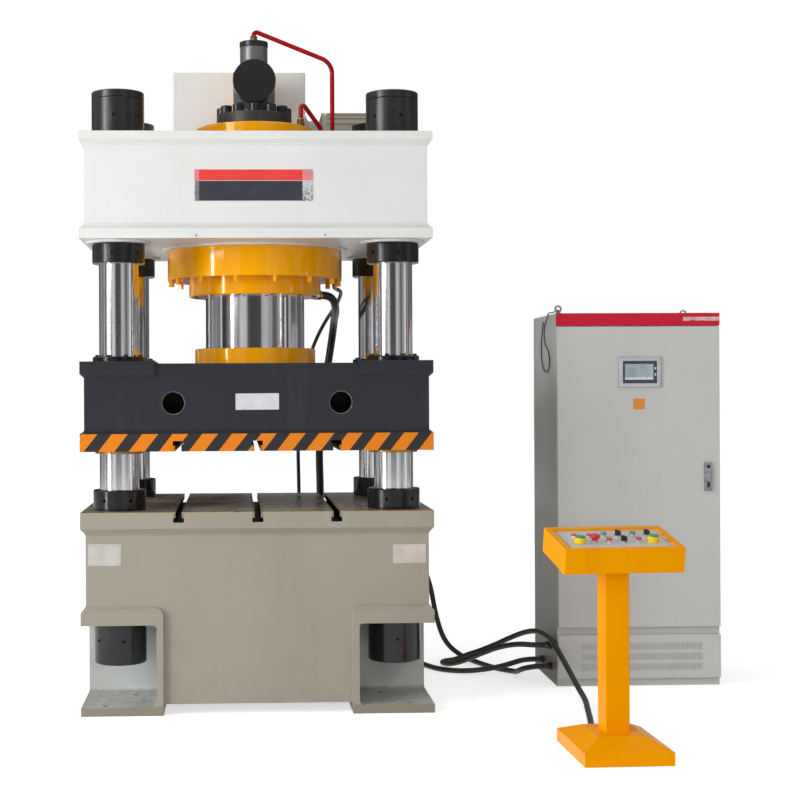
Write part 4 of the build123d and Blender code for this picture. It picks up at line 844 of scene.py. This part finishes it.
plates = Look(
    slidePlate=Look(
        middle=(0.0005, -0.6245, 1.4023), size=(0.195, 0.0734), tilt=0.004, rivets=False, body="slide",
        slot="slide_paint", colour=tone(212, 213, 218), shade=tone(200, 200, 205)),
    bedPlateLeft=Look(
        middle=(-0.686, -0.6205, 0.719), size=(0.148, 0.097), tilt=-0.012, rivets=True, body="frame",
        slot="bed_paint", colour=tone(196, 194, 188), shade=tone(182, 179, 170)),
    bedPlateRight=Look(
        middle=(0.683, -0.6205, 0.714), size=(0.15, 0.084), tilt=0.006, rivets=True, body="frame", slot="bed_paint",
        colour=tone(206, 198, 190), shade=tone(194, 184, 174)),
    doorPlate=Look(
        middle=(1.8675, -0.079, 1.3765), size=(0.058, 0.052), tilt=0.0, rivets=False, body="door",
        slot="cabinet_paint", colour=tone(238, 150, 62), shade=tone(230, 138, 52)))


def makePlates():
    for name, look in plates.items():
        width, height = look.size
        place = onFront(*look.middle) @ turned(look.tilt, "Z")
        bm = bmesh.new()
        addPlate(bm, place, width, height, 0.0012, 0.004, 0.0004)
        # a pressed frame line inside the edge
        stack(bm, squares(width, height, (-0.01, 0.003, 0.0011), (-0.0107, 0.0028, 0.0017),
                          (-0.0114, 0.0026, 0.0011)), place, capped=False)
        if look.rivets:
            for sx, sy in corners:
                addRivet(bm, place @ at(sx * (width / 2 - 0.0075), sy * (height / 2 - 0.0075), 0.0011), 0.0032)
        finish = plateFinish(name + "Face", look.colour, look.shade, 0.3)
        keep(name, bm, look.slot, finish.close(spec=0.4), look.body)


headerStrip = Look(
    left=2.086, right=2.2655, low=1.7815, high=1.8005, face=-0.079, torn=0.009, steps=48, colour=tone(232, 208, 210),
    glue=tone(206, 150, 158))


def makeHeaderStrip():
    # what is left of a paper strip on the fascia, torn along its lower edge
    look = headerStrip
    paper = layered("paperStrip", (look.colour, 0.7), (((0.4, 0.7, 18, 3, 0.6), 1, look.glue, 0.3),), 0.0002, 220, 3)
    rows = []
    for level, lift in ((0.0, 0.0), (0.0004, 0.0), (0.0006, 0.00024)):
        edge = []
        for i in range(look.steps + 1):
            x = look.left + (look.right - look.left) * i / look.steps
            torn = look.torn * max(0.0, noise.noise(Vector((x * 26, 4.0, 0.0))))
            edge.append((x, look.face - level, look.low + torn + lift))
        rows.append(edge + [(x, y, look.high - lift) for x, y, _ in reversed(edge)])
    bm = bmesh.new()
    stack(bm, rows)
    keep("headerStrip_paper", bm, "red_paint", paper.close(spec=0.2))
    print("plates and films:", len(plates) + 3)


makeCrownBand()
makePlates()
makeHeaderStrip()


# screws that the solids leave out

screws = Look(
    guideCapScrews=Look(
        body="slide", radius=0.0075, height=0.0085, circle=0.106, count=8, start=22.5, z=1.609, down=False,
        middles=[(sx * 0.63, sy * 0.445) for sx, sy in corners]),
    ramFlangeScrews=Look(
        body="slide", radius=0.012, height=0.0015, circle=0.267, count=16, start=5.0, z=1.653, down=False,
        middles=[(0.0, 0.0)]),
    glandScrews=Look(
        body="frame", radius=0.011, height=0.003, circle=0.296, count=12, start=15.0, z=1.905, down=True,
        middles=[(0.0, 0.0)]),
    crownManifoldScrews=Look(
        body="frame", radius=0.006, height=0.006, circle=0.072, count=4, start=45.0, z=2.681, down=False,
        middles=[(0.37, 0.01)]))


def makeScrews():
    for name, look in screws.items():
        bm = bmesh.new()
        for x, y in look.middles:
            for i in range(look.count):
                angle = math.radians(look.start) + math.tau * i / look.count
                place = at(x + look.circle * math.cos(angle), y + look.circle * math.sin(angle), look.z)
                place = place @ turned(angle * 1.7, "Z")
                if look.down:
                    place = place @ turned(math.pi, "X")
                addSocketScrew(bm, place, look.radius, look.height)
        keep(name, bm, "black_steel", body=look.body)
    print("screw groups:", len(screws))


makeScrews()


# weld beads where plates meet: half the walls' width and depth, levels of the runs round them

beads = Look(
    bed=Look(body="frame", slot="bed_paint", radius=0.0042, wall=(0.7705, 0.6205), levels=(0.81,)),
    crown=Look(body="frame", slot="crown_paint", radius=0.0042, wall=(0.7705, 0.6205), levels=(2.199, 2.558)),
    slide=Look(body="slide", slot="slide_paint", radius=0.0026, wall=(0.7745, 0.6245), levels=(1.273,)))

# at the feet: upright runs by the inner edges, and level ones along the roof
footBeads = Look(edge=(0.4245, 0.1925), roofStart=(0.4465, 0.2145), low=0.048, high=0.46, roof=0.482)


def footRuns():
    look, wall = footBeads, beads.bed.wall
    runs = []
    for sx, sy in corners:
        x, y = sx * wall[0], sy * wall[1]
        for edge, start in (((sx * look.edge[0], y), (sx * look.roofStart[0], y)),
                            ((x, sy * look.edge[1]), (x, sy * look.roofStart[1]))):
            runs.append(((*edge, look.low), (*edge, look.high)))
            runs.append(((*start, look.roof), (x, y, look.roof)))
    return runs


def addBead(bm, start, end, radius, seed):
    # a low rounded bead with the ripple of the torch
    start, end = Vector(start), Vector(end)
    along = (end - start).normalized()
    side = along.orthogonal().normalized()
    up = along.cross(side)
    steps = max(6, int((end - start).length / 0.011))
    loops = []
    for k in range(steps + 1):
        centre = start.lerp(end, k / steps)
        size = radius * (1 + 0.1 * (k % 2) + 0.22 * noise.noise(centre * 16 + Vector((seed, 0, 0))))
        loops.append([centre + size * (side * math.cos(math.tau * i / 6) + up * math.sin(math.tau * i / 6))
                      for i in range(6)])
    stack(bm, loops)


def makeBeads():
    for name, look in beads.items():
        runs = footRuns() if name == "bed" else []
        x, y = look.wall
        for z in look.levels:
            for s in (-1, 1):
                runs.append(((-x, s * y, z), (x, s * y, z)))
                runs.append(((s * x, -y, z), (s * x, y, z)))
        bm = bmesh.new()
        for seed, (start, end) in enumerate(runs):
            addBead(bm, start, end, look.radius, seed)
        keep(name + "Welds", bm, look.slot, body=look.body, smooth=60)
        print("weld beads of the", name + ":", len(runs))


makeBeads()


# fittings of the oil tank: lid with its screws, air filter, cleaning cover and oil gauge at the back

tank = Look(
    lidInset=0.07, lidThick=0.005, cover=(0.23, 0.23), coverThick=0.008, screw=(0.0126, 0.005),
    filter=(0.03, 0.058), gauge=(0.03, 0.18), glass=tone(196, 186, 120), glassShade=tone(168, 150, 84))


def makeTankFittings():
    look = tank
    low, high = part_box("oil_tank")
    middleX, middleY = (low[0] + high[0]) / 2, (low[1] + high[1]) / 2
    wide, deep = high[0] - low[0] - 2 * look.lidInset, high[1] - low[1] - 2 * look.lidInset
    top = at(middleX, middleY, high[2])
    back = at(middleX - 0.03, high[1], (low[2] + high[2]) / 2 - 0.02) @ turned(-math.pi / 2, "X")
    lids, screwed = bmesh.new(), bmesh.new()
    for place, width, height, thick, corner, count in ((top, wide, deep, look.lidThick, 0.012, 3),
                                                       (back, *look.cover, look.coverThick, 0.02, 2)):
        addPlate(lids, place, width, height, thick, corner, 0.001)
        width, height = width - 0.03, height - 0.03
        for i in range(count + 1):
            share = i / count - 0.5
            for s in (-1, 1):
                spots = [(share * width, s * height / 2)]
                if 0 < i < count:
                    spots.append((s * width / 2, share * height))
                for x, y in spots:
                    addHexHead(screwed, place @ at(x, y, thick - 0.0002), *look.screw)
    keep("tankCovers", lids, "tank_paint")
    keep("tankScrews", screwed, "galvanised")
    # air filter with upright ribs
    radius, tall = look.filter
    bm = bmesh.new()
    spot = at(middleX + wide * 0.28, high[1] - look.lidInset - 0.06, high[2] + look.lidThick - 0.0005)
    steps = ((0.45, 0.0), (0.45, 0.25), (0.95, 0.25), (1.0, 0.32), (1.0, 0.85), (0.95, 0.95), (0.6, 1.0))
    stack(bm, [circle(radius * share, tall * rise, 40) for share, rise in steps], spot)
    for i in range(24):
        rib = spot @ (turned(math.tau * i / 24, "Z") @ at(radius, 0, tall * 0.36))
        stack(bm, circles(8, (0.0016, 0), (0.0016, tall * 0.42)), rib)
    keep("airFilter", bm, "tank_paint", finishes["black_plastic"])
    # oil gauge, left of the cleaning cover
    width, height = look.gauge
    place = back @ at(0.185, 0, 0)
    bm = bmesh.new()
    addPlate(bm, place, width, height, 0.01, 0.006, 0.0012)
    for s in (-1, 1):
        addHexHead(bm, place @ at(0, s * (height / 2 - 0.014), 0.0095), 0.015, 0.006)
    keep("oilGauge", bm, "tank_paint", finishes["black_plastic"])
    bm = bmesh.new()
    addPlate(bm, place @ at(0, 0, 0.0095), width * 0.45, height * 0.62, 0.003, 0.003, 0.001)
    pane = plateFinish("gaugeGlass", look.glass, look.glassShade, 0.12)
    keep("gaugeWindow", bm, "tank_paint", pane.close(coat=(0.6, 0.04)))
    print("tank fittings")


makeTankFittings()


# small stubs left on the lower flange of the crown

stubs = Look(
    places=((-0.27, -0.6415, 2.146), (0.308, -0.6415, 2.146)), height=0.01, radius=0.0048,
    steps=((1.0, -0.4), (0.95, 0.1), (0.6, 0.4), (0.45, 0.8), (0.2, 1.0)))


def makeStubs():
    bm = bmesh.new()
    for spot in stubs.places:
        stack(bm, [circle(stubs.radius * share, stubs.height * rise, 12) for share, rise in stubs.steps], at(*spot))
    keep("crownStubs", bm, "galvanised")


makeStubs()


# operator screen: dark frame, pale display, two keys at its right edge, a thin silver rim

screen = Look(
    middle=(1.871, -0.0855, 1.532), glass=(0.1655, 0.1075), display=(0.139, 0.0765), shift=(-0.004, 0.001),
    frame=tone(58, 66, 84), frameShade=tone(46, 52, 68), pale=tone(172, 192, 200), light=tone(216, 224, 228),
    grey=tone(140, 158, 168), rim=(0.211, 0.147), pocket=(0.168, 0.11), silver=tone(204, 205, 208),
    silverShade=tone(190, 191, 195))


def makeScreen():
    look = screen
    x, y, z = look.middle
    width, height = look.display
    left = x + look.shift[0] - width / 2
    low = z + look.shift[1] - height / 2
    glass = Finish("screenGlass", look.frame, 0.12)
    glass.over(glass.spots(0.45, 0.7, 30, 4), look.frameShade, 0.18)
    rise = glass.along("Z")
    pane = glass.mix(glass.spots(0.4, 0.65, 16, 3, 0.5, (1, 1, 0.5)), look.pale, look.grey)
    ragged = glass.sum("ADD", rise, glass.both(glass.grain(34, 3), 0.02))
    pane = glass.mix(glass.span(ragged, low + 0.024, low + 0.018), pane, look.light)
    glass.over((glass.within(glass.along("X"), left, left + width, 0.0004),
                glass.within(rise, low, low + height, 0.0004)), pane, 0.1)
    glass.raised(0.0002, 8, 2)
    bm = bmesh.new()
    addPlate(bm, onFront(x, y, z), *look.glass, 0.0014, 0.003, 0.0004)
    keep("screenGlass", bm, "grey_plastic", glass.close(coat=(0.6, 0.04)), "door")
    bm = bmesh.new()
    for lift in (0.018, -0.012):
        addPlate(bm, onFront(x + 0.0755, y - 0.0013, z + lift), 0.008, 0.012, 0.0016, 0.002, 0.0005)
    keep("screenKeys", bm, "grey_plastic", finishes["panel_paint"], "door")
    # silver rim round the pocket
    bm = bmesh.new()
    loops = squares(*look.pocket, (0, 0.002, 0.0066), (0, 0.002, 0.0092), (0.004, 0.004, 0.0098))
    loops += squares(*look.rim, (-0.006, 0.006, 0.0092), (0.001, 0.007, 0.0066), (0.001, 0.007, 0.0003))
    stack(bm, loops, onFront(x, -0.079, z), capped=False)
    rim = plateFinish("screenRim", look.silver, look.silverShade, 0.34, 0.2)
    keep("screenRim", bm, "grey_plastic", rim.close(), "door")
    print("screen")


makeScreen()


# lower front panel of the cabinet, pressed into rows of fine louvres

vent = Look(
    columns=45, pitch=0.0132, rows=(0.096, 0.146, 0.196), middle=1.88, tall=0.038, wide=0.0086, rise=0.0034,
    shadow=tone(40, 40, 38),
    shape=((-0.5, 0.08), (-0.4, 0.75), (-0.25, 1.0), (0.25, 1.0), (0.4, 0.75), (0.5, 0.08)))


def makeVent():
    look = vent
    low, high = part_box("vent_panel")
    width, height, thick = high[0] - low[0], high[2] - low[2], high[1] - low[1]
    middleX, middleZ = (low[0] + high[0]) / 2, (low[2] + high[2]) / 2
    place = onFront(middleX, high[1], middleZ)
    bm = bmesh.new()
    stack(bm, squares(width, height, (-0.006, 0.001, thick - 0.003), (-0.006, 0.001, 0.0), (0, 0.002, 0.0),
                      (0, 0.002, thick - 0.0006), (-0.0012, 0.0015, thick)), place)
    for row in look.rows:
        for i in range(look.columns):
            left = look.middle + (i - (look.columns - 1) / 2) * look.pitch - look.wide / 2 - middleX
            loops = []
            for share, lift in look.shape:
                rise, crest = row - middleZ + look.tall * share, look.rise * lift
                loops.append([(left + look.wide * across, rise, thick + out) for across, out in
                              ((0, -0.0002), (0, crest), (0.45, crest * 0.72), (1, -0.0002))])
            stack(bm, loops, place)
    sheet = painted("ventPaint", cabinetLook)
    sheet.over((sheet.below(sheet.facing("X"), -0.7, -0.6), sheet.below(sheet.along("Y"), -0.0794, -0.0792)),
               look.shadow, 0.8)
    panel = keep("ventPanel", bm, "cabinet_paint", sheet.close(spec=0.3), smooth=28)
    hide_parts("vent_panel")
    print("vent louvres:", len(look.rows) * look.columns)


makeVent()


# inside the cabinet: slotted wiring ducts, and the faces of the devices
# a row has its level, the widths of its devices, their height and their depth

interior = Look(
    back=0.475, left=1.576, gap=0.006,
    rows=((1.56, (0.14, 0.09, 0.09), 0.17, 0.11), (1.28, (0.072,) * 6, 0.12, 0.1),
          (1.0, (0.045,) * 10, 0.09, 0.08), (0.7, (0.26, 0.13), 0.15, 0.12)),
    ducts=(1.41, 1.14, 0.85, 0.575), ductWide=0.61, ductTall=0.05, ductDeep=0.055, fin=0.012)


def makeInterior():
    look = interior
    wide, tall, deep = look.ductWide, look.ductTall, look.ductDeep
    middle = look.left - 0.02 + wide / 2
    ducts, faces, toggles = bmesh.new(), bmesh.new(), bmesh.new()
    for level in look.ducts:
        addPlate(ducts, onFront(middle, look.back, level), wide, tall, 0.002, 0.002, 0.0004)
        addPlate(ducts, onFront(middle, look.back - deep, level), wide, tall + 0.002, 0.003, 0.002, 0.0006)
        for side in (-1, 1):
            for i in range(int(wide / look.fin)):
                fin = onFront(middle - wide / 2 + 0.006 + i * look.fin, look.back - 0.001,
                              level + side * (tall / 2 - 0.0012))
                addPlate(ducts, fin, 0.007, 0.0018, deep - 0.001, 0.0005, 0.0002)
    for level, widths, tall, deep in look.rows:
        x = look.left
        for width in widths:
            centre = onFront(x + width / 2, look.back - 0.008 - deep, level)
            addPlate(faces, centre, width * 0.72, tall * 0.36, 0.0016, 0.003, 0.0005)
            addPlate(toggles, centre @ at(0, 0, 0.0015), min(width * 0.3, 0.022), tall * 0.15, 0.006,
                     0.0015, 0.0008)
            for sx, sy in corners:
                addSocketScrew(faces, centre @ at(sx * width * 0.32, sy * tall * 0.3, -0.0002), 0.0032, 0.0018)
            x += width + look.gap
    keep("wiringDucts", ducts, "grey_plastic")
    keep("deviceFaces", faces, "grey_plastic", finishes["panel_paint"])
    keep("deviceToggles", toggles, "grey_plastic", finishes["black_plastic"])
    print("cabinet interior")


makeInterior()


# door lock: key slot, and a dark grip hollow by the lever

lock = Look(key=(2.205, -0.092, 1.07), grip=(2.205, -0.0894, 0.982))


def makeLock():
    bm = bmesh.new()
    stack(bm, circles(24, (0.0082, 0.0), (0.0082, 0.0012), (0.0072, 0.002), (0.0042, 0.002), (0.004, 0.0004)),
          onFront(*lock.key))
    keep("keyCylinder", bm, "galvanised", finishes["black_steel"], "door")
    bm = bmesh.new()
    addPlate(bm, onFront(*lock.grip), 0.016, 0.03, 0.001, 0.006, 0.0003)
    keep("leverGrip", bm, "galvanised", finishes["black_plastic"], "lever")


makeLock()


# console: yellow collars of the palm buttons, red lamp lenses, the panel's border line and screws

headTrim = Look(
    border=(0.4134, 0.2274), line=0.0044, screws=(0.2075, 0.1145),
    collar=((0.0231, 0.0003), (0.0236, 0.0006), (0.0236, 0.0215), (0.0229, 0.024), (0.0218, 0.0246),
            (0.0208, 0.0243), (0.0208, 0.0225)),
    lens=((0.0128, 0.0041), (0.0127, 0.0085), (0.0118, 0.0115), (0.009, 0.0136), (0.005, 0.0147), (0.0012, 0.015)))


def onHead(column, row):
    # a place on the sloping control panel, counted from its left and its near row
    aim = turned(head.turn, "Z") @ turned(head.tilt, "X")
    spot = ((column - 2.5) * head.pitch, (1 if row else -1) * head.row, head.level)
    return at(*head.place) @ aim @ at(*spot)


def makeHead():
    look = headTrim
    yellow = plasticFinish("collarPlastic", head.yellow, head.yellowShade, 0.26)
    bm = bmesh.new()
    for column in (0, 5):
        stack(bm, circles(40, *look.collar), onHead(column, 0), capped=False)
    keep("palmCollars", bm, "bezel_chrome", yellow)
    lens = Finish("lampLens", head.redLens, 0.12)
    lens.over(lens.spots(0.4, 0.7, 90, 3), head.lensShade, 0.2)
    lens.relief = lens.both(lens.cells(900), 0.0001)
    bm = bmesh.new()
    for column in (0, 1):
        stack(bm, circles(28, *look.lens), onHead(column, 1))
    keep("lampLenses", bm, "red_plastic", lens.close(coat=(0.7, 0.05)))
    line = plateFinish("panelLine", head.line, head.lineShade, 0.4)
    bm = bmesh.new()
    centre = onHead(2.5, 0)
    stack(bm, squares(*look.border, (0, 0.004, 0.0), (0, 0.004, 0.0003), (-look.line, 0.003, 0.0003),
                      (-look.line, 0.003, 0.0)), centre @ at(0, head.row, 0), closed=True)
    keep("panelBorder", bm, "panel_paint", line.close())
    bm = bmesh.new()
    for sx, sy in corners:
        addSocketScrew(bm, centre @ at(sx * look.screws[0], head.row + sy * look.screws[1], -0.0002), 0.0034, 0.0014)
    keep("panelScrews", bm, "panel_paint", finishes["bezel_chrome"])
    print("console head")


makeHead()
